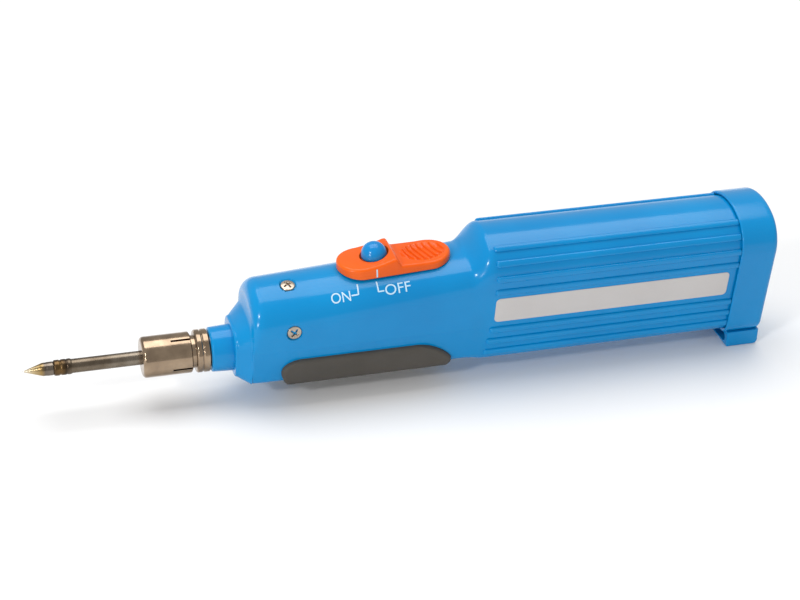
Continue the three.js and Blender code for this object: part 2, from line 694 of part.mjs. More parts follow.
function endCap() {
  const s = barrelSection();
  const outside = { ...grown(s, cap.step), rt: cap.cornerRadius };
  const shell = solid(loft([
    { x: cap.startX, section: grown(outside, -0.35) },
    { x: cap.startX + 0.35, section: outside },
    { x: cap.endX - 0.7, section: outside },
    { x: cap.endX - 0.2, section: grown(outside, -0.2) },
    { x: cap.endX, section: grown(outside, -0.7) },
  ]));
  const foot = new THREE.Shape();
  const r = 1.2;
  foot.moveTo(lug.startX, barrel.bottom + 0.5).lineTo(lug.startX, lug.bottomZ + 0.4);
  foot.lineTo(lug.startX + 0.4, lug.bottomZ).lineTo(lug.endX - r, lug.bottomZ);
  foot.absarc(lug.endX - r, lug.bottomZ + r, r, -Math.PI / 2, 0);
  foot.lineTo(lug.endX, barrel.bottom + 0.5);
  const slot = stadium(lug.slotHalfWidth, lug.slotHeight / 2);
  const socketDepth = barrel.endX + seatGap;
  const mouth = grown(s, 0.2);
  return cut(
    join(shell, solid(acrossY(foot, -lug.halfWidth, lug.halfWidth))),
    solid(loft([{ x: cap.startX - 1, section: mouth }, { x: socketDepth, section: mouth }])),
    solid(loft([{ x: socketDepth - 1, section: grown(s, -wall) }, { x: capFloorX, section: grown(s,
    -wall) }])),
    solid(alongX(slot, cap.startX - 1, lug.startX + lug.slotDepth).translate(0, 0, lug.slotZ)),
  );
}

// One strip bridges both columns; its upper end is raised to meet the upper cell.
function capContactPlate() {
  const rear = capPlateX + contact.thickness;
  const half = contact.width / 2;
  const raised = upperFrontX + cellLength + seatGap;
  return join(
    box(capPlateX, rear, -half, half, -4, columns.upperZ + 4),
    box(raised, rear, -half * 0.6, half * 0.6, columns.upperZ - 2.5, columns.upperZ + 2.5),
  );
}

function wireAlong(points) {
  const path = new THREE.CatmullRomCurve3(points.map((p) => new THREE.Vector3(...p)));
  const section = new THREE.Shape().absarc(0, 0, wire.radius, 0, 2 * Math.PI);
  return new THREE.ExtrudeGeometry(section, { steps: 30, curveSegments: 4, extrudePath: path });
}

add("housing", housing(), blue, 0.32, 0);
add("nose_ring", noseRing(), nickel, 0.25, 1);
add("socket_insulator", turned([
  [socket.frontX, socket.contactOuter + 0.05], [socket.frontX, ring.bore - 0.05], [socket.rearX,
  ring.bore - 0.05],
  [socket.rearX, socket.contactOuter + 0.05], [socket.frontX, socket.contactOuter + 0.05],
]), 0xd9d2c4, 0.6, 0);
add("socket_contact", turned([
  [socket.frontX + 0.3, socket.contactInner], [socket.frontX + 0.3, socket.contactOuter],
  [socket.rearX + 4, socket.contactOuter], [socket.rearX + 4, 0], [socket.rearX, 0],
  [socket.rearX, socket.contactInner], [socket.frontX + 0.3, socket.contactInner],
]), brass, 0.3, 1);
add("socket_block", socketBlock(), black, 0.5, 0);
add("collar_sleeve", collarSleeve(), nickel, 0.25, 1);
add("heater_tube", heaterTube(), steel, 0.35, 1);
add("soldering_tip", solderingTip(), 0xb9a06a, 0.3, 1);
add("heater_core", turned([[core.frontX, 0], [core.frontX, core.radius], [core.rearX, core.radius],
  [core.rearX, 0]], 16), 0xe8e4da, 0.7, 0);
add("cartridge_pin", turned([[core.rearX + seatGap, 0], [core.rearX + seatGap, pin.radius],
  [pin.rearX - 0.4, pin.radius], [pin.rearX, pin.radius - 0.4], [pin.rearX, 0]], 16), brass, 0.3, 1);
["screw_upper", "screw_lower"].forEach((name, i) => {
  add(name, screwGeometry().applyMatrix4(screwPlaces[i]), 0x9a8468, 0.3, 1);
});
add("grip_pad", padBody(0, pad.proud, pad.seat), rubber, 0.8, 0);

const labelMiddle = barrelWallAt(label.lowZ + label.height / 2);
const labelHalf = label.height / 2 / Math.cos(labelMiddle.angle);
const labelShape = roundedRectangle(0, label.length, -labelHalf, labelHalf, label.cornerRadius);
const labelBody = acrossY(labelShape, -label.thickness, 0, 4).translate(label.startX, -seatGap, 0);
labelBody.rotateX(-labelMiddle.angle).translate(0, -labelMiddle.y, labelMiddle.z);
add("rating_label", labelBody, 0xc8c3bf, 0.5, 0);

add("switch_plate", switchPlateSolid(), 0x8a5a30, 0.7, 0, switchGroup);
add("switch_contact_front", switchContact(-1), brass, 0.3, 1, switchGroup);
add("switch_contact_rear", switchContact(1), brass, 0.3, 1, switchGroup);
add("switch_slider", switchSlider(), orange, 0.4, 0, switchGroup);
add("slider_carrier", sliderCarrier(), black, 0.5, 0, switchGroup);
add("slider_contact", sliderContact(), brass, 0.3, 1, switchGroup);
add("lock_button", lockButton(), 0x1172b8, 0.35, 0, switchGroup);
add("lock_spring", lockSpring(), steel, 0.4, 1, switchGroup);

add("battery_front", cellGeometry(lowerFrontX, columns.lowerZ, true), 0x3a3d42, 0.35, 0.3);
add("battery_lower", cellGeometry(lowerRearX, columns.lowerZ, true), 0x3a3d42, 0.35, 0.3);
add("battery_upper", cellGeometry(upperFrontX, columns.upperZ, false), 0x3a3d42, 0.35, 0.3);
const half = contact.width / 2;
add("front_contact_lower", box(columns.frontContactX, columns.frontContactX + contact.thickness, -half, half,
  columns.lowerZ - contact.height / 2, columns.lowerZ + contact.height / 2), nickel, 0.3, 1);
add("front_contact_upper", box(upperContactX, upperContactX + contact.thickness, -half, half,
  columns.upperZ - contact.height / 2, columns.upperZ + contact.height / 2), nickel, 0.3, 1);
const springWire = batterySpring.wire;
add("front_spring_upper", coil(upperContactX + contact.thickness + springWire + seatGap,
  upperFrontX - springWire
  - seatGap, batterySpring.radius, springWire, batterySpring.turns).translate(0, 0, columns.upperZ),
  steel, 0.35, 1);

add("end_cap", endCap(), blue, 0.32, 0);
add("cap_contact_plate", capContactPlate(), nickel, 0.3, 1);
add("cap_spring", coil(lowerRearX + cellLength + springWire + seatGap, capPlateX - springWire - seatGap,
  batterySpring.radius, springWire, batterySpring.turns).translate(0, 0, columns.lowerZ), steel, 0.35, 1);

add("wire_positive", wireAlong([
  [socket.rearX + 4.8, 0, 0], [block.rearX + 1, 0.5, 0.4], [columns.frontContactX - 3, 0.4, -1],
  [columns.frontContactX - 0.8, 0, -1.2],
]), 0xb02a22, 0.5, 0);

export default iron;
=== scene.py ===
import math

import bmesh
import bpy
import numpy as np
from mathutils import Matrix, Vector


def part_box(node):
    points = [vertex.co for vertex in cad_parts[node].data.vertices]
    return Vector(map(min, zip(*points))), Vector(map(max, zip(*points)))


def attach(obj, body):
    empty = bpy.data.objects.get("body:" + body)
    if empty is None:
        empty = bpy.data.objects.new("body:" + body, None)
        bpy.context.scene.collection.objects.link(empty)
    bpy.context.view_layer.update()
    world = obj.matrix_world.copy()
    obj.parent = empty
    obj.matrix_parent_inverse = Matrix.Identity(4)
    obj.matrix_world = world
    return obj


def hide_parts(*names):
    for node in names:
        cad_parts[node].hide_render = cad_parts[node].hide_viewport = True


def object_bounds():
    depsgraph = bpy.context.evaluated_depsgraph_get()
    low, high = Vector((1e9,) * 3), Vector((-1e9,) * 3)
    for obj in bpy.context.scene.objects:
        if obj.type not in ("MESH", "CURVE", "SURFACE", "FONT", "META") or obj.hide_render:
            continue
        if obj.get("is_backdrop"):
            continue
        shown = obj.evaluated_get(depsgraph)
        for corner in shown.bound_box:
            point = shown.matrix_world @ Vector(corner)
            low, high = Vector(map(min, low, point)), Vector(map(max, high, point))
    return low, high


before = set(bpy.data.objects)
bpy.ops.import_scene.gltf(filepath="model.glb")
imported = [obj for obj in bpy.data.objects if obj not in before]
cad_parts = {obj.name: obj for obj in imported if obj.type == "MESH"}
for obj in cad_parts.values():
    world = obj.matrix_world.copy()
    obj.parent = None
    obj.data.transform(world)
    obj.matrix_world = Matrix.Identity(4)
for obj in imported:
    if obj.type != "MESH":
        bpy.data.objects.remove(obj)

# A battery soldering iron: each piece is worked out in millimetres from the front of the neck on the tip's
# axis, with x towards the end cap, and then set down in the frame's metres.
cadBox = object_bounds()
millimetre = 0.001
tipLow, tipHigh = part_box("soldering_tip")
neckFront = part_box("housing")[0][0]
start = np.array([neckFront, 0.0, (tipLow[2] + tipHigh[2]) / 2])


# ---- building meshes ----
def gridFaces(rows, columns, wrap):
    # Quads between neighbouring rows and columns of a grid of points, joined round when it wraps.
    i = np.arange(rows - 1)[:, None]
    j = np.arange(columns if wrap else columns - 1)[None, :]
    k = (j + 1) % columns
    a, b = i * columns + j, i * columns + k
    return np.stack([a, b, b + columns, a + columns], axis=-1).reshape(-1, 4)


def makePiece(name, points, faces, material, body="body", stands=(), slot=None, sharp=32):
    mesh = bpy.data.meshes.new(name)
    points = np.asarray(points, dtype=float).reshape(-1, 3) * millimetre + start
    mesh.from_pydata(points, [], [list(map(int, f)) for f in faces])
    tidy = bmesh.new()
    tidy.from_mesh(mesh)
    bmesh.ops.remove_doubles(tidy, verts=tidy.verts, dist=2e-7)
    bmesh.ops.dissolve_degenerate(tidy, edges=tidy.edges, dist=1e-8)
    bmesh.ops.recalc_face_normals(tidy, faces=tidy.faces)
    tidy.to_mesh(mesh)
    tidy.free()
    mesh.materials.append(material)
    mesh.shade_smooth()
    mesh.set_sharp_from_angle(angle=math.radians(sharp))
    piece = bpy.data.objects.new(name, mesh)
    bpy.context.scene.collection.objects.link(piece)
    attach(piece, body)
    if stands:
        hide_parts(*stands)
    return piece


def joinGrids(parts):
    # Several (points, faces) pairs as one.
    points, faces, count = [], [], 0
    for p, f in parts:
        p = np.asarray(p, dtype=float).reshape(-1, 3)
        points.append(p)
        faces += [[int(k) + count for k in face] for face in f]
        count += len(p)
    return np.concatenate(points), faces


def turnedSurface(profile, sides=96):
    # A profile of (x, radius) pairs turned about the x axis: y = r sin a, z = r cos a.
    profile = np.asarray(profile, dtype=float)
    a = np.linspace(0, 2 * np.pi, sides, endpoint=False)
    x = np.repeat(profile[:, :1], sides, axis=1)
    y = profile[:, 1:] * np.sin(a)
    z = profile[:, 1:] * np.cos(a)
    return np.stack([x, y, z], axis=-1), gridFaces(len(profile), sides, True)


def softProfile(points, radius=0.12, steps=3):
    # Each inner corner of the profile becomes a short curve: a quadratic blend between its two edges.
    points = np.asarray(points, dtype=float)
    made = [points[0]]
    t = np.linspace(0, 1, steps + 1)[:, None]
    for before, here, after in zip(points[:-2], points[1:-1], points[2:]):
        back, on = before - here, after - here
        reach = min(radius, 0.45 * np.linalg.norm(back), 0.45 * np.linalg.norm(on))
        p = here + back / np.linalg.norm(back) * reach
        q = here + on / np.linalg.norm(on) * reach
        made += list((1 - t) ** 2 * p + 2 * t * (1 - t) * here + t**2 * q)
    made.append(points[-1])
    return np.array(made)


def closedShell(outer, inner, keep, wrap):
    # Two grids of points with the same layout, walled together round the edge of the cells that are kept.
    rows, columns = outer.shape[:2]
    cells = columns if wrap else columns - 1
    count = rows * columns
    i, j = np.nonzero(keep)
    k = (j + 1) % columns
    a, b, c, d = i * columns + j, i * columns + k, (i + 1) * columns + k, (i + 1) * columns + j
    faces = [np.stack([a, b, c, d], axis=-1), np.stack([d, c, b, a], axis=-1) + count]
    padded = np.zeros((rows + 1, cells + 2), dtype=bool)
    padded[1:-1, 1:-1] = keep
    if wrap:
        padded[1:-1, 0], padded[1:-1, -1] = keep[:, -1], keep[:, 0]
    for (p, q), (down, right) in (((a, b), (-1, 0)), ((c, d), (1, 0)), ((b, c), (0, 1)), ((d, a), (0, -1))):
        open_ = ~padded[i + 1 + down, j + 1 + right]
        p, q = p[open_], q[open_]
        faces.append(np.stack([q, p, p + count, q + count], axis=-1))
    return np.concatenate([outer.reshape(-1, 3), inner.reshape(-1, 3)]), np.concatenate(faces)


def smoothStep(low, high, value):
    t = np.clip((value - low) / (high - low), 0, 1)
    return t * t * (3 - 2 * t)


# ---- materials ----
def linearColour(code):
    # "#rrggbb" as sRGB, turned to linear and given a full alpha.
    channels = [int(code[i : i + 2], 16) / 255 for i in (1, 3, 5)]
    return [c / 12.92 if c <= 0.04045 else ((c + 0.055) / 1.055) ** 2.4 for c in channels] + [1.0]


def addNode(tree, kind, values=None, links=None, **settings):
    made = tree.nodes.new(kind)
    for key, value in settings.items():
        setattr(made, key, value)
    for key, value in (values or {}).items():
        made.inputs[key].default_value = value
    for key, source in (links or {}).items():
        tree.links.new(source, made.inputs[key])
    return made


def newMaterial(name, values):
    material = bpy.data.materials.new(name)
    material.use_nodes = True
    tree = material.node_tree
    shader = tree.nodes["Principled BSDF"]
    for key, value in values.items():
        shader.inputs[key].default_value = value
    coordinates = addNode(tree, "ShaderNodeTexCoord").outputs["Object"]
    return material, tree, shader, coordinates


def patternRange(tree, source, low, high, fromLow=0.3, fromHigh=0.7):
    # A pattern's value, spread from low to high.
    values = {"From Min": fromLow, "From Max": fromHigh, "To Min": low, "To Max": high}
    return addNode(tree, "ShaderNodeMapRange", values, {"Value": source}).outputs["Result"]


def mouldedPlastic(name, deep, light, roughness, coat, grain, bump, gloss=0.5):
    # Injection-moulded ABS: an even colour with a faint cloud from the flow, a fine spark-eroded grain that
    # softens the edge of each reflection, and rubbed patches that are a little glossier.
    values = {"IOR": 1.53, "Coat Weight": coat, "Coat Roughness": 0.12, "Specular IOR Level": gloss}
    material, tree, shader, coordinates = newMaterial(name, values)
    cloud = addNode(tree, "ShaderNodeTexNoise", {"Scale": 45.0, "Detail": 3.0}, {"Vector": coordinates})
    mixed = addNode(tree, "ShaderNodeMix", data_type="RGBA")
    mixed.inputs[6].default_value = linearColour(deep)
    mixed.inputs[7].default_value = linearColour(light)
    tree.links.new(patternRange(tree, cloud.outputs["Fac"], 0.0, 1.0), mixed.inputs[0])
    tree.links.new(mixed.outputs[2], shader.inputs["Base Color"])
    rubbed = addNode(tree, "ShaderNodeTexNoise", {"Scale": 120.0, "Detail": 4.0}, {"Vector": coordinates})
    spread = patternRange(tree, rubbed.outputs["Fac"], roughness * 0.88, roughness * 1.12)
    tree.links.new(spread, shader.inputs["Roughness"])
    fine = addNode(tree, "ShaderNodeTexNoise", {"Scale": 1000.0 / grain, "Detail": 2.0},
                   {"Vector": coordinates})
    depth = {"Strength": bump, "Distance": 0.00005}
    relief = addNode(tree, "ShaderNodeBump", depth, {"Height": fine.outputs["Fac"]})
    tree.links.new(relief.outputs["Normal"], shader.inputs["Normal"])
    return material


def workedMetal(name, deep, light, roughness, stretch, bump, tint=None):
    # Turned or drawn metal: fine marks round the piece, a little uneven in colour and gloss. A tint is a list
    # of (x in millimetres, colour) stops along the piece, for what the heat has done to it.
    material, tree, shader, coordinates = newMaterial(name, {"Metallic": 1.0})
    marks = addNode(tree, "ShaderNodeMapping", {"Scale": stretch}, {"Vector": coordinates})
    lines = addNode(tree, "ShaderNodeTexNoise", {"Scale": 900.0, "Detail": 4.0},
                    {"Vector": marks.outputs["Vector"]})
    cloud = addNode(tree, "ShaderNodeTexNoise", {"Scale": 260.0, "Detail": 5.0}, {"Vector": coordinates})
    mixed = addNode(tree, "ShaderNodeMix", data_type="RGBA")
    mixed.inputs[6].default_value = linearColour(deep)
    mixed.inputs[7].default_value = linearColour(light)
    tree.links.new(patternRange(tree, cloud.outputs["Fac"], 0.0, 1.0), mixed.inputs[0])
    colour = mixed.outputs[2]
    if tint:
        along = addNode(tree, "ShaderNodeSeparateXYZ", links={"Vector": coordinates})
        low, high = tint[0][0], tint[-1][0]
        ends = [neckFront + low * millimetre, neckFront + high * millimetre]
        where = patternRange(tree, along.outputs["X"], 0.0, 1.0, *ends)
        uneven = addNode(tree, "ShaderNodeMath", links={0: cloud.outputs["Fac"]}, operation="MULTIPLY_ADD")
        uneven.inputs[1].default_value = 0.12
        tree.links.new(where, uneven.inputs[2])
        ramp = addNode(tree, "ShaderNodeValToRGB", links={"Fac": uneven.outputs["Value"]})
        while len(ramp.color_ramp.elements) < len(tint):
            ramp.color_ramp.elements.new(0.5)
        for stop, (x, code) in zip(ramp.color_ramp.elements, tint):
            stop.position = min(1.0, (x - low) / (high - low) + 0.06)
            stop.color = linearColour(code)
        tinted = addNode(tree, "ShaderNodeMix", data_type="RGBA", blend_type="MULTIPLY")
        tinted.inputs[0].default_value = 1.0
        tree.links.new(colour, tinted.inputs[6])
        tree.links.new(ramp.outputs["Color"], tinted.inputs[7])
        colour = tinted.outputs[2]
    tree.links.new(colour, shader.inputs["Base Color"])
    spread = patternRange(tree, lines.outputs["Fac"], roughness * 0.75, roughness * 1.25)
    tree.links.new(spread, shader.inputs["Roughness"])
    depth = {"Strength": bump, "Distance": 0.00003}
    relief = addNode(tree, "ShaderNodeBump", depth, {"Height": lines.outputs["Fac"]})
    tree.links.new(relief.outputs["Normal"], shader.inputs["Normal"])
    return material


mouldedBlueAbs = mouldedPlastic("mouldedBlueAbs", "#0084c4", "#008ece", 0.2, 0.3, 0.5, 0.06, 0.16)
mouldedOrangeAbs = mouldedPlastic("mouldedOrangeAbs", "#ec5c0c", "#f46614", 0.24, 0.2, 0.5, 0.08, 0.16)
polishedBlueAbs = mouldedPlastic("polishedBlueAbs", "#007fc4", "#088ad0", 0.16, 0.1, 0.7, 0.04, 0.3)
softGripRubber = mouldedPlastic("softGripRubber", "#45413b", "#504b44", 0.78, 0.0, 0.35, 0.5)
printedLabelFilm = mouldedPlastic("printedLabelFilm", "#c3bebb", "#cac6c3", 0.5, 0.1, 0.8, 0.04)
whitePrintInk = mouldedPlastic("whitePrintInk", "#b9dcf0", "#c9e4f3", 0.5, 0.0, 0.3, 0.05)
blackNylon = mouldedPlastic("blackNylon", "#1f2022", "#292b2d", 0.55, 0.0, 0.4, 0.2)
firedCeramic = mouldedPlastic("firedCeramic", "#d8d2c4", "#e6e1d5", 0.7, 0.0, 0.25, 0.3)
phenolicBoard = mouldedPlastic("phenolicBoard", "#7c4f28", "#8c5b30", 0.6, 0.0, 0.4, 0.2)
shrinkSleeve = mouldedPlastic("shrinkSleeve", "#33363b", "#40444a", 0.25, 0.3, 1.5, 0.06)
redPvc = mouldedPlastic("redPvc", "#a3261f", "#b23028", 0.45, 0.0, 0.5, 0.1)
aroundX = (9.0, 1.0, 1.0)
turnedNickel = workedMetal("turnedNickel", "#8f7c68", "#b39d84", 0.18, aroundX, 0.25)
screwSteel = workedMetal("screwSteel", "#a89a8a", "#c4b6a6", 0.3, (2.0, 2.0, 2.0), 0.2)
springSteel = workedMetal("springSteel", "#85868a", "#a0a1a5", 0.3, (2.0, 2.0, 2.0), 0.15)
pressedBrass = workedMetal("pressedBrass", "#b8964f", "#cdae66", 0.28, (2.0, 2.0, 2.0), 0.12)
tubeStops = [(-37.4, "#5e4c38"), (-35.8, "#7b6240"), (-34.2, "#463a2e"), (-32.6, "#75695a"),
             (-26.0, "#857a6c"),
             (-14.0, "#8d8376")]
heatedTubeSteel = workedMetal("heatedTubeSteel", "#c9c2ba", "#ffffff", 0.3, aroundX, 0.3, tubeStops)
tipStops = [(-44.6, "#e6dfd0"), (-42.0, "#cdb98f"), (-40.2, "#a88d5c"), (-39.2, "#746b62"),
            (-37.3, "#857b70")]
platedTipMetal = workedMetal("platedTipMetal", "#dcd6cf", "#ffffff", 0.2, aroundX, 0.2, tipStops)
print("materials made")


# ---- the housing's cross-section ----
def cornerOf(s):
    # Where the wide arc of the top meets the corner's arc: both slope by the same angle there.
    wide = s["rt"] + (s["w"] - s["rt"]) / np.sin(s["arch"])
    return wide, s["w"] - s["rt"], s["top"] - wide + (wide - s["rt"]) * np.cos(s["arch"])


def halfSection(s, counts):
    # From the top middle to the bottom middle on +y: a wide arc, the corner's arc, a straight wall to the
    # crease, a second straight wall, a small bottom arc and a flat. Every value is a column, one per station.
    wide, cy, cz = cornerOf(s)
    upper = np.arctan2(s["w"] - s["creaseW"], cz - s["creaseZ"])
    lower = np.arctan2(s["creaseW"] - s["wb"], s["creaseZ"] - s["bottom"] - s["rb"])
    t = [np.linspace(0, 1, n, endpoint=False)[None, :] for n in counts]
    crown = t[0] * s["arch"]
    bend = (np.pi / 2 - s["arch"]) * (1 - t[1]) - upper * t[1]
    low = -lower * (1 - t[4]) - np.pi / 2 * t[4]
    wallY, wallZ = cy + s["rt"] * np.cos(upper), cz - s["rt"] * np.sin(upper)
    footY, footZ = s["wb"] - s["rb"], s["bottom"] + s["rb"]
    lowY, lowZ = footY + s["rb"] * np.cos(lower), footZ - s["rb"] * np.sin(lower)
    ys = [wide * np.sin(crown), cy + s["rt"] * np.cos(bend), wallY + (s["creaseW"] - wallY) * t[2],
          s["creaseW"] + (lowY - s["creaseW"]) * t[3], footY + s["rb"] * np.cos(low), footY * (1 - t[5]),
          np.zeros_like(cy)]
    zs = [s["top"] - wide * (1 - np.cos(crown)), cz + s["rt"] * np.sin(bend),
          wallZ + (s["creaseZ"] - wallZ) * t[2],
          s["creaseZ"] + (lowZ - s["creaseZ"]) * t[3], footZ + s["rb"] * np.sin(low),
          s["bottom"] + 0 * t[5], s["bottom"]]
    return np.concatenate(ys, axis=1), np.concatenate(zs, axis=1)


def sectionGrid(stations, counts):
    # Whole sections, the far half mirrored onto the near side, as a grid of points with one row per station.
    keys = stations[0][1].keys()
    s = {k: np.array([[station[1][k]] for station in stations], dtype=float) for k in keys}
    y, z = halfSection(s, counts)
    y = np.concatenate([y, -y[:, -2:0:-1]], axis=1)
    z = np.concatenate([z, z[:, -2:0:-1]], axis=1)
    x = np.repeat(np.array([[station[0]] for station in stations], dtype=float), y.shape[1], axis=1)
    return np.stack([x, y, z], axis=-1)


def mixSection(a, b, t):
    return {k: a[k] + (b[k] - a[k]) * t for k in a}


def grown(s, d):
    made = dict(s)
    for key in ("w", "top", "rt", "creaseW", "wb"):
        made[key] += d
    made["bottom"] -= d
    made["rb"] = max(made["rb"] + d, 0.6)
    return made


degrees = math.pi / 180
body = {
    "frontX": 10.0, "frontEnd": 62.4, "topAtFront": 17.0, "topAtEnd": 19.8, "halfWidth": 10.4, "bottom": -7.3,
    "bottomHalfWidth": 8.2, "cornerAtFront": 8.6, "cornerAtEnd": 5.6, "archAtFront": 40 * degrees,
    "archAtEnd": 18 * degrees, "barrelStart": 68.4, "barrelEnd": 138.0, "wall": 1.3, "faceX": 9.2,
    "noseRadius": 3.2,
}
slope = (body["topAtEnd"] - body["topAtFront"]) / (body["frontEnd"] - body["frontX"])


def frontTop(x):
    return body["topAtFront"] + slope * (x - body["frontX"])


def frontSection(x):
    t = (x - body["frontX"]) / (body["frontEnd"] - body["frontX"])
    return {
        "w": body["halfWidth"], "top": frontTop(x), "creaseW": body["halfWidth"] - 0.6,
        "arch": body["archAtFront"] + (body["archAtEnd"] - body["archAtFront"]) * t,
        "rt": body["cornerAtFront"] + (body["cornerAtEnd"] - body["cornerAtFront"]) * t, "creaseZ": 3.0,
        "wb": body["bottomHalfWidth"], "bottom": body["bottom"], "rb": 2.5,
    }


barrel = {"w": 11.2, "top": 25.3, "rt": 8.2, "arch": 24 * degrees, "creaseW": 0.0, "creaseZ": 3.0, "wb": 8.0,
          "bottom": -8.45, "rb": 3.2}
barrelCornerZ = float(cornerOf(barrel)[2])
wallShare = (barrelCornerZ - 3.0) / (barrelCornerZ - barrel["bottom"] - barrel["rb"])
barrel["creaseW"] = barrel["w"] + (barrel["wb"] - barrel["w"]) * wallShare
muzzleFront = {"w": 6.7, "top": 6.3, "rt": 3.6, "arch": 12 * degrees, "creaseW": 6.6, "creaseZ": 0.0,
               "wb": 6.4,
               "bottom": -5.3, "rb": 3.0}
muzzleRear = {"w": 8.9, "top": 10.2, "rt": 5.0, "arch": 16 * degrees, "creaseW": 8.8, "creaseZ": 1.0,
              "wb": 8.5,
              "bottom": -7.1, "rb": 2.6}


def housingStations():
    made = [(5.3, grown(muzzleFront, -4.5 + 1.2)), (5.3, muzzleFront)]
    for t in np.linspace(0.15, 1, 6):
        a = t * math.pi / 2
        made.append((5.3 + 0.6 * (1 - math.cos(a)), grown(muzzleFront, 0.6 * math.sin(a))))
    muzzle = grown(muzzleFront, 0.6)
    reach = body["faceX"] - 0.3 - 5.9
    made += [(5.9 + reach * t, mixSection(muzzle, muzzleRear, t)) for t in np.linspace(0.1, 1, 10)]
    nose, front = body["noseRadius"], frontSection(body["frontX"])
    for t in np.linspace(0, 1, 22):
        a = t * math.pi / 2
        x = body["faceX"] + nose * (1 - math.cos(a))
        shrink = nose * (1 - math.sin(a))
        s = frontSection(x)
        s["bottom"] = muzzleRear["bottom"] + (front["bottom"] - muzzleRear["bottom"]) * t
        s["w"] -= shrink * 0.3
        s["rt"] -= shrink * 0.3
        s["top"] -= shrink
        made.append((x, s))
    made += [(x, frontSection(x)) for x in np.linspace(12.7, 16.6, 10)]
    made += [(x, frontSection(x)) for x in np.arange(16.7, 21.4, 0.1)]
    made += [(x, frontSection(x)) for x in np.linspace(21.8, body["frontEnd"], 60)]
    last = frontSection(body["frontEnd"])
    for t in np.linspace(0.03, 1, 34):
        x = body["frontEnd"] + (body["barrelStart"] - body["frontEnd"]) * t
        made.append((x, mixSection(last, barrel, (1 - math.cos(math.pi * t)) / 2)))
    end = body["barrelEnd"]
    made += [(x, barrel) for x in np.linspace(body["barrelStart"] + 1, end - 0.3, 50)]
    made += [(end - 0.3 + 0.3 * math.sin(a), grown(barrel, -0.3 * (1 - math.cos(a)))) for a in (0.5, 1.0,
                                                                                                1.57)]
    inside = grown(barrel, -body["wall"])
    made += [(end, grown(barrel, -body["wall"] + 0.2)), (end - 0.2, inside)]
    made += [(x, inside) for x in np.linspace(end - 2, 80, 14)]
    made.append((80.0, {**inside, "w": 4.0, "rt": 2.0, "creaseW": 3.9, "wb": 3.8, "rb": 1.0, "top": 12.0,
                        "bottom": 4.0}))
    return made


screws = {
    "x": 19.0, "headRadius": 1.8, "sink": 0.2, "recessRadius": 1.98, "recessDepth": 0.5, "lowerZ": 8.0,
    "upperTilt": 77 * degrees,
}


def screwPlaces():
    # Each screw's inward direction, and the point where its head's crown is.
    s = frontSection(screws["x"])
    wide, cy, cz = cornerOf(s)
    tilt = screws["upperTilt"]
    inward = np.array([0, math.cos(tilt), -math.sin(tilt)])
    upper = np.array([screws["x"], 0, s["top"] - wide]) - inward * wide
    share = 0.3
    side = np.array([screws["x"], -(s["w"] + (s["creaseW"] - s["w"]) * share), screws["lowerZ"]])
    return {"screwUpper": (upper, inward), "screwLower": (side, np.array([0.0, 1.0, 0.0]))}


def buildHousing():
    grid = sectionGrid(housingStations(), (14, 34, 52, 18, 12, 8))
    for centre, inward in screwPlaces().values():
        # A round counterbore: points within its radius sink straight in.
        offset = grid - centre
        depth = offset @ inward
        radius = np.linalg.norm(offset - depth[..., None] * inward, axis=-1)
        edge = screws["recessRadius"]
        sink = screws["recessDepth"] * (1 - smoothStep(edge - 0.1, edge + 0.1, radius))
        sink = np.where((np.abs(depth) < 3) & (grid[..., 1] < 0), sink, 0)
        grid = grid + sink[..., None] * inward
    rows, columns = grid.shape[:2]
    faces = [list(f) for f in gridFaces(rows, columns, True)]
    faces.append(list(range(columns)))
    faces.append([(rows - 1) * columns + k for k in range(columns)])
    makePiece("housingShell", grid, faces, mouldedBlueAbs, stands=("housing",), slot="blue_shell", sharp=40)
    # The round neck that the nose ring seats in.
    profile = softProfile([(9.0, 4.1), (0.0, 4.1), (0.0, 5.0), (0.35, 5.45), (6.2, 5.75), (6.2, 4.1)], 0.15)
    makePiece("housingNeck", *turnedSurface(np.vstack([profile, profile[:1]])), mouldedBlueAbs,
              stands=("housing",),
              slot="blue_shell")


ribs = {"startX": 68.7, "endX": 132.4, "width": 1.7, "height": 0.6, "spacing": 3.85, "topZ": 12.9,
        "lowZ": 1.4,
        "early": (0, 0, 0, 0, 0.4, 1.0, 1.4)}


def ribPlaces():
    # Where each rib stands on the barrel's section: a point and its outward angle.
    lean = math.atan2(barrel["w"] - barrel["creaseW"], barrelCornerZ - barrel["creaseZ"])
    def onWall(z):
        return barrel["w"] - (barrelCornerZ - z) * math.tan(lean), z, -lean
    def onCorner(a):
        return barrel["w"] - barrel["rt"] + barrel["rt"] * math.cos(a), barrelCornerZ + barrel["rt"] * math.sin(a), a
    first = (ribs["topZ"] + 2 * ribs["spacing"] - barrelCornerZ) / barrel["rt"]
    step = ribs["spacing"]
    return [onCorner(first + step / barrel["rt"]), onCorner(first), onWall(ribs["topZ"] + step),
            onWall(ribs["topZ"]),
            onWall(ribs["lowZ"]), onWall(ribs["lowZ"] - 0.9 * step), onWall(ribs["lowZ"] - 1.75 * step)]


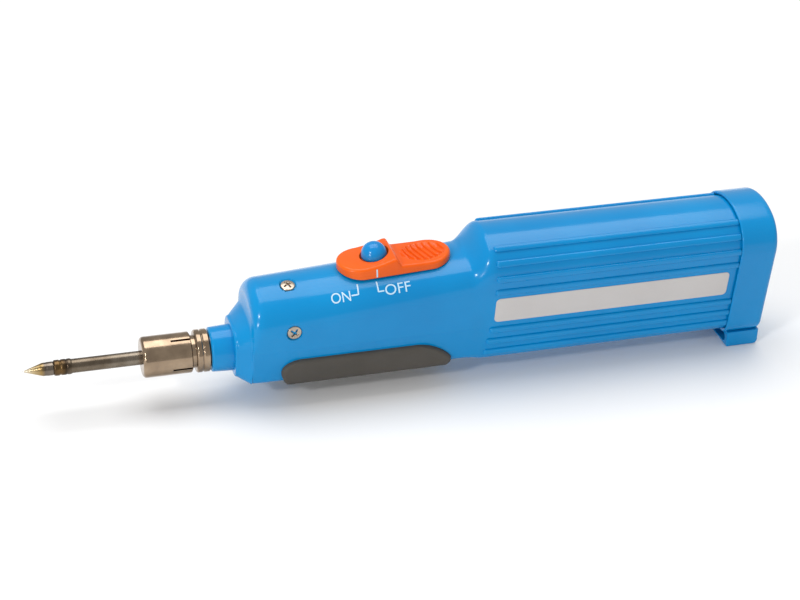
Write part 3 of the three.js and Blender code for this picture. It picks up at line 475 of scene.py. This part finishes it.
def buildRibs():
    # A rib is a low rounded bar: its section is a half superellipse, which shrinks to nothing at its front
    # end.
    x = np.concatenate([ribs["startX"] + 0.7 * (1 - np.cos(np.linspace(0, np.pi / 2, 9))),
                        np.linspace(ribs["startX"] + 2, ribs["endX"], 30)])
    fromEnd = ((ribs["endX"] - x) / (ribs["endX"] - ribs["startX"]))[:, None]
    a = np.linspace(0, np.pi, 15)
    across = np.sign(np.cos(a)) * np.abs(np.cos(a)) ** 0.7 * ribs["width"] / 2
    up = np.sin(a) ** 0.7 * ribs["height"]
    across = np.concatenate([across, [-ribs["width"] / 2, ribs["width"] / 2]])
    up = np.concatenate([up, [-0.5, -0.5]])
    size = np.sqrt(np.clip(1 - (1 - np.clip((x - ribs["startX"]) / 0.7, 0, 1)) ** 2, 0.0, 1))[:, None]
    parts = []
    for (y, z, angle), early in zip(ribPlaces(), ribs["early"]):
        outward = np.where(up[None, :] > 0, up[None, :] * size, up[None, :])
        sideways = across[None, :] * (0.35 + 0.65 * size)
        py = y + outward * math.cos(angle) - sideways * math.sin(angle)
        pz = z + outward * math.sin(angle) + sideways * math.cos(angle)
        px = x[:, None] - early * fromEnd + 0 * py
        for side in (1, -1):
            grid = np.stack([px, py * side, pz], axis=-1)
            faces = [list(f) for f in gridFaces(len(x), len(across), True)]
            faces += [list(range(len(across))), [(len(x) - 1) * len(across) + k for k in range(len(across))]]
            parts.append((grid, faces))
    makePiece("housingRibs", *joinGrids(parts), mouldedBlueAbs, stands=("housing",), slot="blue_shell",
              sharp=60)


buildHousing()
buildRibs()
print("housing made")


# ---- screws ----
def buildScrew(name, centre, inward, turn, node):
    # A pan head as a height over a disc: a shallow dome, less a cross where either arm is near.
    rings = np.concatenate([np.linspace(0, 1.45, 30), np.linspace(1.5, screws["headRadius"], 8)])[:, None]
    a = np.linspace(0, 2 * np.pi, 120, endpoint=False)[None, :]
    u, v = rings * np.cos(a + turn), rings * np.sin(a + turn)
    arm = lambda p, q: (1 - smoothStep(0.16, 0.26, np.abs(p))) * (1 - smoothStep(1.0, 1.2, np.abs(q)))
    cross = np.maximum(arm(u, v), arm(v, u))
    dome = 0.25 * (1 - (rings / screws["headRadius"]) ** 2) - 0.3 * smoothStep(1.55, 1.9, rings) ** 2
    height = dome - 0.6 * cross * (1 - 0.4 * rings)
    along = np.array([1.0, 0.0, 0.0])
    other = np.cross(inward, along)
    out = -inward
    base = centre + inward * screws["sink"]
    p, q = rings * np.cos(a), rings * np.sin(a)
    grid = base + p[..., None] * along + q[..., None] * other + height[..., None] * out
    skirt = grid[-1] + inward * 0.7
    shank = base + inward * 0.9 + 0.5 * (grid[-1] - base - height[-1][:, None] * out)
    foot = shank + inward * 4.2
    grid = np.concatenate([grid, skirt[None], shank[None], foot[None]])
    faces = [list(f) for f in gridFaces(len(grid), 120, True)]
    faces.append([(len(grid) - 1) * 120 + k for k in range(120)])
    makePiece(name, grid, faces, screwSteel, stands=(node,), slot="screw_steel")


places = screwPlaces()
buildScrew("screwUpper", *places["screwUpper"], 0.5, "screw_upper")
buildScrew("screwLower", *places["screwLower"], 0.9, "screw_lower")
print("screws made")


# ---- nose ring, collar sleeve, heater tube and tip ----
nose = {"ringFront": -3.5, "ringRear": -0.3, "ringRadius": 5.25, "spigotRadius": 4.0, "bore": 2.7,
        "tailX": 10.0,
        "spigotFront": -9.8}


def buildNoseRing():
    front, rear, radius, spigot = nose["ringFront"], nose["ringRear"], nose["ringRadius"], nose["spigotRadius"]
    middle = (front + rear) / 2
    profile = [(nose["spigotFront"], nose["bore"]), (nose["spigotFront"], spigot), (front, spigot),
               (front, radius - 0.35), (front + 0.35, radius), (middle - 0.3, radius), (middle,
                                                                                        radius - 0.25),
               (middle + 0.3, radius), (rear - 0.15, radius), (rear, radius - 0.15), (rear, spigot - 0.05),
               (nose["tailX"], spigot - 0.05), (nose["tailX"], nose["bore"])]
    profile = softProfile(profile, 0.1)
    makePiece("noseRing", *turnedSurface(np.vstack([profile, profile[:1]]), 128), turnedNickel,
              stands=("nose_ring",),
              slot="plated_steel")


sleeve = {"front": -16.4, "rear": -4.5, "radius": 5.0, "bore": 4.12, "slots": 4, "slotWidth": 0.6,
          "slotFront": -9.4,
          "slotTurn": 69 * degrees, "floor": -10.3, "tubeBore": 1.78}


def buildSleeve():
    # The slotted skirt: a grid round the axis whose columns fall on the slots' edges, with those cells
    # left out.
    half = sleeve["slotWidth"] / 2 / sleeve["radius"]
    quarter = 2 * np.pi / sleeve["slots"]
    one = np.concatenate([[-half, half], np.linspace(half, quarter - half, 26)[1:-1]])
    a = np.concatenate([one + k * quarter + sleeve["slotTurn"] for k in range(sleeve["slots"])])
    front, rear, radius, floor = (sleeve[k] for k in ("front", "rear", "radius", "floor"))
    turn = np.linspace(0, np.pi / 2, 9)
    # Rows: the front face, its rounded edge, the barrel to the floor of the bore, and the slotted skirt.
    x = np.concatenate([[front, front], front + 0.9 * (1 - np.cos(turn)), np.linspace(front + 1.2, floor, 16),
                        [floor + 0.02, sleeve["slotFront"]], np.linspace(sleeve["slotFront"], rear - 0.35,
                                                                         10)[1:],
                        rear - 0.35 * (1 - np.sin(np.linspace(0.3, np.pi / 2, 5)))])
    outR = radius - 0.3 * smoothStep(rear - 0.35, rear, x) ** 2
    outR[:2] = (sleeve["tubeBore"], radius - 1.5)
    outR[2:11] = radius - 0.9 * (1 - np.sin(turn))
    inR = np.where(x <= floor, sleeve["tubeBore"], sleeve["bore"])
    ring = lambda r: np.stack([x[:, None] + 0 * a, r[:, None] * np.sin(a), r[:, None] * np.cos(a)], axis=-1)
    keep = np.ones((len(x) - 1, len(a)), dtype=bool)
    keep[x[:-1] >= sleeve["slotFront"], :: len(one)] = False
    makePiece("collarSleeve", *closedShell(ring(outR), ring(inR), keep, True), turnedNickel, body="cartridge",
              stands=("collar_sleeve",), slot="plated_steel")


tube = {"front": -37.3, "rear": -9.5, "radius": 1.72, "inner": 1.34, "crimpRear": -32.9, "crimp": 1.92}
tip = {"point": -44.5, "cone": -39.8, "radius": 1.62, "shank": 1.26, "shankRear": -30.0}


def buildTube():
    front, rear, r, crimp = tube["front"], tube["rear"], tube["radius"], tube["crimp"]
    profile = [(front, tube["inner"]), (front, r - 0.1), (front + 0.35, crimp), (front + 1.35, crimp),
               (front + 1.65, crimp - 0.2), (front + 1.95, crimp), (front + 2.9, crimp), (front + 3.15,
                                                                                          crimp - 0.12),
               (front + 3.4, crimp), (tube["crimpRear"] - 0.35, crimp), (tube["crimpRear"], r), (rear, r),
               (rear, tube["inner"])]
    profile = softProfile(profile, 0.12)
    makePiece("heaterTube", *turnedSurface(np.vstack([profile, profile[:1]]), 72), heatedTubeSteel,
              body="cartridge",
              stands=("heater_tube",), slot="heated_steel")


def buildTip():
    a = np.linspace(0, 1.25, 6)
    point = [(tip["point"] + 0.15 * (1 - math.cos(t)), 0.17 * math.sin(t)) for t in a]
    x = np.linspace(tip["point"] + 0.14, tip["cone"], 16)[1:]
    cone = [(k, 0.16 + (tip["radius"] - 0.16) * (k - x[0] + 0.29) / (x[-1] - x[0] + 0.29)) for k in x]
    shoulder = tube["front"] - 0.1
    rest = [(tip["cone"] + 0.6, tip["radius"]), (-38.9, tip["radius"]), (-38.8, tip["radius"] + 0.06),
            (shoulder, tip["radius"] + 0.06), (shoulder, tip["shank"]), (tip["shankRear"], tip["shank"]),
            (tip["shankRear"], 0.0)]
    profile = np.array(point + cone + rest)
    makePiece("solderingTip", *turnedSurface(profile, 72), platedTipMetal, body="cartridge",
              stands=("soldering_tip",),
              slot="tip_metal")


buildNoseRing()
buildSleeve()
buildTube()
buildTip()
print("tip end made")

# ---- grip pad ----
pad = {
    "frontEdge": [(-9.5, 17.9), (-7.6, 17.5), (-6.2, 16.8), (-4.6, 16.15), (-3.4, 16.05), (-2.4, 16.3),
                  (-1.6, 16.9),
                  (-0.9, 17.9), (-0.4, 19.0), (-0.1, 20.6)],
    "rearEdge": [(-9.5, 58.4), (-6.7, 58.6), (-5.8, 58.85), (-4.9, 58.8), (-3.8, 57.9), (-2.6, 56.5),
                 (-1.5, 54.8),
                 (-0.7, 53.0), (-0.3, 51.4), (-0.1, 50.0)],
    "topZ": -0.1, "proud": 1.2, "seat": 0.4, "edge": 0.9,
}


def buildPad():
    # The housing's lower section is the same all along, so the pad is that path, carried between a front and
    # a rear edge, and lifted off it by a height that rounds down to the housing round the rim.
    s = {k: np.array([[v]]) for k, v in frontSection(40.0).items()}
    y, z = halfSection(s, (4, 8, 60, 60, 40, 60))
    y, z = y[0], z[0]
    low = z <= pad["topZ"]
    cut = np.argmax(low)
    share = (z[cut - 1] - pad["topZ"]) / (z[cut - 1] - z[cut])
    y = np.concatenate([[y[cut - 1] + (y[cut] - y[cut - 1]) * share], y[cut:]])
    z = np.concatenate([[pad["topZ"]], z[cut:]])
    y, z = np.concatenate([-y, y[-2::-1]]), np.concatenate([z, z[-2::-1]])
    run = np.concatenate([[0], np.cumsum(np.hypot(np.diff(y), np.diff(z)))])
    spread = np.linspace(0, 1, 190)
    spread = run[-1] * (spread - np.sin(2 * np.pi * spread) / (2 * np.pi) * 0.6)
    y, z = np.interp(spread, run, y), np.interp(spread, run, z)
    ty, tz = np.gradient(y, spread), np.gradient(z, spread)
    size = np.hypot(ty, tz)
    ny, nz = tz / size, -ty / size
    if ny[0] > 0:
        ny, nz = -ny, -nz
    edgeZ, edgeX = np.array(pad["frontEdge"]).T
    frontX = np.interp(z, edgeZ, edgeX)
    edgeZ, edgeX = np.array(pad["rearEdge"]).T
    rearX = np.interp(z, edgeZ, edgeX)
    s = np.linspace(0, 1, 150)
    s = s - np.sin(2 * np.pi * s) / (2 * np.pi) * 0.85
    x = frontX[None, :] + (rearX - frontX)[None, :] * s[:, None]
    fromTop = np.minimum(spread, spread[-1] - spread)[None, :]
    fromEnd = np.minimum(x - frontX[None, :], rearX[None, :] - x) * 0.75
    rim = np.clip(np.minimum(fromTop + 0 * x, fromEnd), 0, pad["edge"])
    lift = pad["proud"] - pad["edge"] + np.sqrt(pad["edge"] ** 2 - (pad["edge"] - rim) ** 2)
    lift = np.where(rim <= 1e-9, -0.05, lift)
    outer = np.stack([x, y + ny * lift, z + nz * lift], axis=-1)
    inner = np.stack([x, y - ny * pad["seat"] + 0 * x, z - nz * pad["seat"] + 0 * x], axis=-1)
    keep = np.ones((x.shape[0] - 1, x.shape[1] - 1), dtype=bool)
    piece = makePiece("gripPad", *closedShell(outer, inner, keep, False), softGripRubber,
                      stands=("grip_pad",),
                      slot="grip_rubber", sharp=50)


buildPad()
print("grip made")

# ---- rating label ----
label = {"startX": 69.2, "length": 61.4, "lowZ": 3.9, "height": 7.0, "thickness": 0.18, "corner": 1.1}


def buildLabel():
    lean = math.atan2(barrel["w"] - barrel["creaseW"], barrelCornerZ - barrel["creaseZ"])
    middleZ = label["lowZ"] + label["height"] / 2
    y0 = barrel["w"] - (barrelCornerZ - middleZ) * math.tan(lean)
    half, r = label["height"] / 2 / math.cos(lean), label["corner"]
    corners = [(label["length"] - r, half - r, 0), (r, half - r, 90), (r, r - half, 180),
               (label["length"] - r, r - half, 270)]
    outline = np.concatenate([[(cx + r * math.cos((a + t) * degrees), cy + r * math.sin((a + t) * degrees))
                               for t in np.linspace(0, 90, 10)] for cx, cy, a in corners])
    middle = np.array([label["length"] / 2, 0])
    def ring(inset, lift):
        p = outline - np.sign(outline - middle) * inset
        out = lift
        return np.stack([label["startX"] + p[:, 0],
                         -(y0 + out * math.cos(lean) + p[:, 1] * math.sin(lean)),
                         middleZ - out * math.sin(lean) + p[:, 1] * math.cos(lean)], axis=-1)
    grid = np.stack([ring(0, -0.05), ring(0, label["thickness"] - 0.05), ring(0.05, label["thickness"])])
    count = len(outline)
    faces = [list(f) for f in gridFaces(3, count, True)] + [list(range(count)),
                                                            [2 * count + k for k in range(count)]]
    makePiece("ratingLabel", grid, faces, printedLabelFilm, stands=("rating_label",), slot="label_foil",
              sharp=30)


buildLabel()

# ---- slide switch, in a frame that lies on the sloping top ----
switch = {
    "centreX": 45.8, "length": 28.2, "halfWidth": 5.9, "frontRise": 2.2, "peakRise": 3.7, "peakX": -0.6,
    "dishRise": 1.7, "edge": 0.7, "gap": 0.3, "buttonX": -4.8, "wellRadius": 3.4, "wellFloor": 0.8,
    "dishLength": 6.3, "dishWidth": 4.7, "dishDepth": 0.75, "ridgeSpacing": 1.5,
}
switchTurn = math.atan(slope)


def ontoTop(points):
    # From the switch's frame to the housing's: turned about y by the slope, then moved to the switch's
    # middle.
    c, s = math.cos(switchTurn), math.sin(switchTurn)
    x, y, z = np.moveaxis(np.asarray(points, dtype=float), -1, 0)
    return np.stack([switch["centreX"] + x * c - z * s, y, frontTop(switch["centreX"]) + x * s + z * c],
                    axis=-1)


def buildSlider():
    end, half = switch["length"] / 2, switch["halfWidth"]
    t = np.linspace(0, 1, 300)
    x = (-end + 2 * end * (t - np.sin(2 * np.pi * t) / (2 * np.pi) * 0.5))[:, None]
    into = np.clip(np.abs(x) - (end - half), 0, half)
    reach = np.sqrt(np.clip(half**2 - into**2, 0, None))
    v = np.linspace(-1, 1, 110)
    v = np.sign(v) * (1 - (1 - np.abs(v)) ** 1.35)
    y = reach * v[None, :]
    fromRim = half - np.hypot(np.clip(np.abs(x) - (end - half), 0, None), y)
    # Along the slide: a ramp up to the peak, a short steep step, and a shallow sag over the thumb rest.
    peakX, peak, front, dish = (switch[k] for k in ("peakX", "peakRise", "frontRise", "dishRise"))
    knots = [(-end, front), (-end + 6, front + 0.1), (-5.5, front + 0.42), (-3.5, front + 0.85),
             (peakX - 1.4, peak - 0.25), (peakX - 0.8, peak - 0.05), (peakX - 0.3, peak), (peakX,
                                                                                           peak - 0.05),
             (peakX + 0.3, peak - 0.35), (peakX + 1.0, dish + 0.3), (peakX + 1.3,
                                                                     dish + 0.06), (peakX + 1.7, dish),
             (4.0, dish - 0.12), (end / 2, dish - 0.22), (end - 3, dish - 0.12), (end, dish - 0.1)]
    top = np.interp(x, *np.array(knots).T) - 0.006 * y**2
    # The dish: an oval bowl with a soft rim, and ridges across it that follow the oval.
    dishX = (switch["peakX"] + end) / 2 + 0.6
    oval = np.hypot((x - dishX) / switch["dishLength"], y / switch["dishWidth"])
    bowl = switch["dishDepth"] * (1 - smoothStep(0.55, 1.0, oval))
    wave = np.cos(2 * np.pi * (x - dishX + 0.3 * y) / switch["ridgeSpacing"] + np.pi)
    crest = smoothStep(-0.1, 0.75, wave) * (1 - smoothStep(0.8, 0.92, oval)) * 0.55
    top = top - bowl + crest
    rim = np.clip(fromRim, 0, switch["edge"])
    edge = switch["edge"]
    top = top - (edge - np.sqrt(np.clip(edge**2 - (edge - rim) ** 2, 0, None)))
    fromButton = np.hypot(x - switch["buttonX"], y)
    sunk = 1 - smoothStep(switch["wellRadius"] - 0.04, switch["wellRadius"] + 0.14, fromButton)
    top = top * (1 - sunk) + switch["wellFloor"] * sunk
    s = frontSection(body["frontEnd"] - 2)
    wide = s["rt"] + (s["w"] - s["rt"]) / math.sin(s["arch"])
    under = switch["gap"] - (wide - np.sqrt(wide**2 - y**2))
    x = x + 0 * y
    keep = np.ones((x.shape[0] - 1, x.shape[1] - 1), dtype=bool)
    outer, inner = (ontoTop(np.stack([x, y, z], axis=-1)) for z in (top, under))
    shell = closedShell(outer, inner, keep, False)
    makePiece("switchSlider", *shell, mouldedOrangeAbs, body="slider", stands=("switch_slider",),
              slot="orange_plastic", sharp=45)


button = {"radius": 3.15, "rest": 2.1, "top": 5.9, "stem": 1.1, "stemEnd": -0.9}


def buildButton():
    rim = button["top"] - button["radius"]
    a = np.linspace(0.06, np.pi / 2, 18)
    stemEnd, stem, rest, radius = (button[k] for k in ("stemEnd", "stem", "rest", "radius"))
    profile = [(stemEnd, 0.0), (stemEnd, stem), (rest, stem), (rest, radius - 0.12), (rest + 0.12, radius),
               (rim, radius)]
    profile += [(rim + (button["top"] - rim) * math.sin(t), radius * math.cos(t)) for t in a]
    x, r = np.array(profile).T
    turn = np.linspace(0, 2 * np.pi, 96, endpoint=False)
    grid = np.stack([switch["buttonX"] + r[:, None] * np.cos(turn), r[:, None] * np.sin(turn),
                     x[:, None] + 0 * turn], axis=-1)
    makePiece("lockButton", ontoTop(grid), gridFaces(len(r), 96, True), polishedBlueAbs, body="button",
              stands=("lock_button",), slot="button_plastic", sharp=50)


buildSlider()
buildButton()
print("switch made")

# ---- switch marks: print wrapped onto the shoulder ----
marks = {"thickness": 0.05, "size": 3.7}


def ontoShoulder(points):
    # (x, distance down from the top middle on the near side, height) wrapped onto the front section there.
    x, down, lift = np.moveaxis(np.asarray(points, dtype=float), -1, 0)
    t = (x - body["frontX"]) / (body["frontEnd"] - body["frontX"])
    rt = body["cornerAtFront"] + (body["cornerAtEnd"] - body["cornerAtFront"]) * t
    arch = body["archAtFront"] + (body["archAtEnd"] - body["archAtFront"]) * t
    wide = rt + (body["halfWidth"] - rt) / np.sin(arch)
    cy = body["halfWidth"] - rt
    cz = frontTop(x) - wide + (wide - rt) * np.cos(arch)
    onTop = down < wide * arch
    a = np.where(onTop, down / wide, arch + (down - wide * arch) / rt)
    reach = np.where(onTop, wide, rt) + lift
    y = np.where(onTop, 0, cy) + reach * np.sin(a)
    z = np.where(onTop, frontTop(x) - wide, cz) + reach * np.cos(a)
    return np.stack([x, -y, z], axis=-1)


def wordMesh(word, x, down, size, narrow):
    # The word's outline, filled, cut finely so that it bends, and given a thickness.
    text = bpy.data.curves.new("word", "FONT")
    text.body = word
    text.size = size
    holder = bpy.data.objects.new("word", text)
    mesh = holder.to_mesh()
    work = bmesh.new()
    work.from_mesh(mesh)
    holder.to_mesh_clear()
    bmesh.ops.remove_doubles(work, verts=work.verts, dist=1e-5)
    bmesh.ops.triangulate(work, faces=work.faces)
    bmesh.ops.subdivide_edges(work, edges=[e for e in work.edges if e.calc_length() > 0.5], cuts=2)
    bmesh.ops.triangulate(work, faces=work.faces)
    flat = np.array([v.co[:2] for v in work.verts])
    work.verts.index_update()
    faces = [[v.index for v in f.verts] for f in work.faces]
    rim = [[v.index for v in e.verts] for e in work.edges if len(e.link_faces) == 1]
    work.free()
    bpy.data.objects.remove(holder)
    bpy.data.curves.remove(text)
    px, pd = x + flat[:, 0] * narrow, down - flat[:, 1]
    low = np.stack([px, pd, np.full_like(px, -0.03)], axis=-1)
    high = np.stack([px, pd, np.full_like(px, marks["thickness"])], axis=-1)
    count = len(px)
    allFaces = [[k + count for k in f] for f in faces] + [f[::-1] for f in faces]
    allFaces += [[a, b, b + count, a + count] for a, b in rim]
    return ontoShoulder(np.concatenate([low, high])), allFaces


def strokeMesh(path, width=0.34):
    # A printed line along a path of (x, down) points.
    path = np.asarray(path, dtype=float)
    run = np.concatenate([[0], np.cumsum(np.hypot(*np.diff(path, axis=0).T))])
    t = np.union1d(np.linspace(0, run[-1], 24), run)
    p = np.stack([np.interp(t, run, path[:, k]) for k in (0, 1)], axis=-1)
    d = np.gradient(p, t, axis=0)
    n = np.stack([-d[:, 1], d[:, 0]], axis=-1) / np.hypot(*d.T)[:, None]
    sides = []
    for side, lift in ((1, -0.03), (1, marks["thickness"]), (-1, marks["thickness"]), (-1, -0.03)):
        q = p + n * side * width / 2
        sides.append(np.concatenate([q, np.full((len(q), 1), lift)], axis=1))
    grid = ontoShoulder(np.stack(sides, axis=1))
    rows = len(p)
    faces = [list(f) for f in gridFaces(rows, 4, True)] + [[0, 1, 2, 3], [4 * rows - 4 + k for k in range(4)]]
    return grid, faces


makePiece("switchMarks", *joinGrids([
    wordMesh("ON", 28.2, 10.1, marks["size"], 0.86),
    wordMesh("OFF", 41.4, 10.3, marks["size"], 1.0),
    strokeMesh([(33.3, 8.9), (35.0, 8.9), (35.2, 6.2)]),
    strokeMesh([(41.3, 9.1), (39.9, 9.1), (39.9, 6.4)]),
]), whitePrintInk, slot="label_foil", sharp=40)

# The line that points at ON or OFF runs down the near wall of the slide.
indexLine = {"x": -5.6, "width": 0.34, "low": -0.4, "high": 1.75, "thickness": 0.04}


def buildIndexLine():
    out = -switch["halfWidth"]
    middle, half, thick = indexLine["x"], indexLine["width"] / 2, indexLine["thickness"]
    corners = [(middle + sx * half, out + sy * thick, z) for z in (indexLine["low"], indexLine["high"])
               for sx, sy in ((-1, -1), (1, -1), (1, 1), (-1, 1))]
    faces = [(3, 2, 1, 0), (4, 5, 6, 7), (0, 1, 5, 4), (1, 2, 6, 5), (2, 3, 7, 6), (3, 0, 4, 7)]
    makePiece("indexLine", ontoTop(corners), faces, whitePrintInk, body="slider", slot="label_foil", sharp=40)


buildIndexLine()
print("marks made")

# ---- end cap with its foot ----
cap = {"front": 132.5, "end": 142.3, "step": 0.95, "cornerRadius": 8.6, "floor": 140.8, "seat": 138.1,
       "edge": 1.3}
foot = {"half": 7.9, "bottom": -13.1, "front": 133.5, "end": 142.1, "top": -8.9, "corner": 1.2,
        "slotHalf": 6.4,
        "slotHigh": 2.4, "slotZ": -11.2, "slotDepth": 5.0,
        "soft": 0.35}


def buildCap():
    outside, seat, inside = grown(barrel, cap["step"]), grown(barrel, 0.2), grown(barrel, -body["wall"])
    outside["rt"] = cap["cornerRadius"]
    point = {**inside, "w": 0.6, "rt": 0.3, "creaseW": 0.59, "wb": 0.58, "rb": 0.2, "top": 8.0, "bottom": 7.0}
    point["creaseZ"] = 7.5
    made = [(cap["floor"], point), (cap["floor"], grown(inside, -0.3)), (cap["floor"] - 0.3, inside)]
    made += [(cap["seat"] + 0.05, inside), (cap["seat"], grown(inside, 0.1)),
             (cap["seat"], grown(seat, -0.1)),
             (cap["seat"] - 0.1, seat)]
    made += [(x, seat) for x in np.linspace(cap["seat"] - 1, cap["front"] + 0.2, 6)]
    for a in np.linspace(0, math.pi / 2, 6):
        made.append((cap["front"] + 0.35 * (1 - math.cos(a)), grown(outside, -0.35 * (1 - math.sin(a)))))
    made += [(x, outside) for x in np.linspace(cap["front"] + 0.6, cap["end"] - cap["edge"], 12)]
    for a in np.linspace(0.1, math.pi / 2, 12):
        made.append((cap["end"] - cap["edge"] * (1 - math.sin(a)),
                     grown(outside, -cap["edge"] * (1 - math.cos(a)))))
    made.append((cap["end"], grown(outside, -cap["edge"] - 0.4)))
    made.append((cap["end"], point))
    grid = sectionGrid(made, (12, 34, 30, 16, 18, 10))
    rows, columns = grid.shape[:2]
    faces = [list(f) for f in gridFaces(rows, columns, True)]
    faces += [list(range(columns)), [(rows - 1) * columns + k for k in range(columns)]]
    # The foot: its side outline carried across, with a slot let into the front face between its two ends.
    half, r = foot["half"], foot["corner"]
    soft, slotHalf, slotZ = foot["soft"], foot["slotHalf"], foot["slotZ"]
    turn = np.linspace(0, np.pi / 2, 6)
    v = np.concatenate([-half + soft * (1 - np.cos(turn)), np.linspace(-half + 0.5, -slotHalf, 5)[:-1],
                        -slotHalf * np.cos(np.linspace(0, np.pi, 60)),
                        np.linspace(slotHalf, half - 0.5, 5)[1:], half - soft * (1 - np.sin(turn))])[:, None]
    inset = soft - np.sqrt(np.clip(soft**2 - np.clip(np.abs(v) - (half - soft), 0, None) ** 2, 0, None))
    high = foot["slotHigh"] / 2
    past = np.clip(np.abs(v) - (slotHalf - high), 0, high)
    opening = np.where(np.abs(v) <= slotHalf, np.sqrt(np.clip(high**2 - past**2, 0, None)), 0)
    depth = np.where(opening > 1e-6, foot["slotDepth"], 0)
    front, end, top, bottom = foot["front"], foot["end"], foot["top"], foot["bottom"]
    one = np.ones_like(v)
    face = front + inset
    lip = face + 0.08 * (depth > 0)
    columnsXz = [(face, top * one), (face, slotZ + opening), (lip, slotZ + opening),
                 (face + depth, slotZ + opening),
                 (face + depth, slotZ - opening), (lip, slotZ - opening), (face, slotZ - opening),
                 (face, bottom + 0.3 + inset)]
    columnsXz += [(front + 0.3 * (1 - math.sin(a)) + inset, bottom + 0.3 * (1 - math.cos(a)) + inset)
                  for a in np.linspace(np.pi / 2, 0, 4)[1:]]
    columnsXz += [(end - r + r * math.sin(a) - inset * math.sin(a),
                   bottom + r - r * math.cos(a) + inset * math.cos(a))
                  for a in np.linspace(0, np.pi / 2, 12)]
    columnsXz += [(end - inset, top * one)]
    px = np.concatenate([c[0] * one for c in columnsXz], axis=1)
    pz = np.concatenate([c[1] * one for c in columnsXz], axis=1)
    block = np.stack([px, v + 0 * px, pz], axis=-1)
    rowsB, columnsB = block.shape[:2]
    facesB = [list(f) for f in gridFaces(rowsB, columnsB, True)]
    facesB += [list(range(columnsB)), [(rowsB - 1) * columnsB + k for k in range(columnsB)]]
    makePiece("endCap", *joinGrids([(grid, faces), (block, facesB)]), mouldedBlueAbs, body="cap",
              stands=("end_cap",),
              slot="blue_shell", sharp=35)


buildCap()
print("cap made")

# ---- finishes for the CAD's own solids ----
finishes = {
    "socket_insulator": firedCeramic, "socket_contact": pressedBrass, "socket_block": blackNylon,
    "heater_core": firedCeramic, "cartridge_pin": pressedBrass, "switch_plate": phenolicBoard,
    "switch_contact_front": pressedBrass, "switch_contact_rear": pressedBrass, "slider_carrier": blackNylon,
    "slider_contact": pressedBrass, "lock_spring": springSteel, "battery_front": shrinkSleeve,
    "battery_lower": shrinkSleeve, "battery_upper": shrinkSleeve, "front_contact_lower": turnedNickel,
    "front_contact_upper": turnedNickel, "front_spring_upper": springSteel, "cap_contact_plate": turnedNickel,
    "cap_spring": springSteel, "wire_positive": redPvc,
}
for nodeName, finish in finishes.items():
    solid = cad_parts[nodeName]
    solid.data.materials.clear()
    solid.data.materials.append(finish)
print("finishes set")

# ---- floor, light and camera ----
stage = {"floorSize": 6.0, "floorColour": "#f4f4f4", "worldStrength": 0.5}
floorMaterial, floorTree, floorShader, floorPlace = newMaterial("paleFloor", {"Roughness": 0.9})
floorShader.inputs["Base Color"].default_value = linearColour(stage["floorColour"])
side = stage["floorSize"] / 2
floorMesh = bpy.data.meshes.new("floor")
floorMesh.from_pydata([(-side, -side, 0), (side, -side, 0), (side, side, 0), (-side, side, 0)], [],
                      [(0, 1, 2, 3)])
floorMesh.materials.append(floorMaterial)
floor = bpy.data.objects.new("floor", floorMesh)
bpy.context.scene.collection.objects.link(floor)
floor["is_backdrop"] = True

world = bpy.data.worlds.new("studio")
world.use_nodes = True
world.node_tree.nodes["Background"].inputs["Color"].default_value = linearColour("#ffffff")
world.node_tree.nodes["Background"].inputs["Strength"].default_value = stage["worldStrength"]
bpy.context.scene.world = world
bpy.context.scene.view_settings.view_transform = "Standard"


def addSoftbox(name, spot, target, width, height, power):
    lamp = bpy.data.lights.new(name, "AREA")
    lamp.shape = "RECTANGLE"
    lamp.size, lamp.size_y, lamp.energy = width, height, power
    holder = bpy.data.objects.new(name, lamp)
    holder.location = spot
    holder.rotation_euler = (Vector(target) - Vector(spot)).to_track_quat("-Z", "Y").to_euler()
    bpy.context.scene.collection.objects.link(holder)


addSoftbox("overhead", (0.0, 0.25, 1.0), (0, 0, 0), 1.1, 0.8, 8.0)
addSoftbox("leftUpper", (-0.75, -0.55, 0.62), (0, 0, 0.02), 0.13, 0.1, 2.4)
addSoftbox("leftLower", (-0.75, -0.6, 0.22), (0, 0, 0.02), 0.13, 0.08, 1.8)

view = {"azimuth": 16.5, "elevation": 30.2, "roll": 1.8, "distance": 482.8, "neckLeft": 46.23,
        "neckDown": 11.95,
        "lens": 90.0, "sensor": 36.0}


def makeCamera():
    # The camera's axes from its azimuth, elevation and roll, then back from the neck by the distance, so that
    # the neck is left of and below the view's middle by the stated millimetres.
    a, e, roll = (view[k] * degrees for k in ("azimuth", "elevation", "roll"))
    right = np.array([math.cos(a), -math.sin(a), 0])
    up = np.array([math.sin(a) * math.sin(e), math.cos(a) * math.sin(e), math.cos(e)])
    back = np.array([-math.sin(a) * math.cos(e), -math.cos(a) * math.cos(e), math.sin(e)])
    right, up = math.cos(roll) * right + math.sin(roll) * up, math.cos(roll) * up - math.sin(roll) * right
    spot = start + (back * view["distance"] + right * view["neckLeft"] + up * view["neckDown"]) * millimetre
    camera = bpy.data.cameras.new("camera")
    camera.lens, camera.sensor_width = view["lens"], view["sensor"]
    camera.clip_start = 0.01
    holder = bpy.data.objects.new("camera", camera)
    holder.matrix_world = Matrix(np.vstack([np.stack([right, up, back, spot], axis=1),
                                            [0, 0, 0, 1]]).tolist())
    bpy.context.scene.collection.objects.link(holder)
    bpy.context.scene.camera = holder


makeCamera()
print("stage made")
lists = lambda b: [[float(v) for v in corner] for corner in b]
{"cad": lists(cadBox), "visual": lists(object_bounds())}
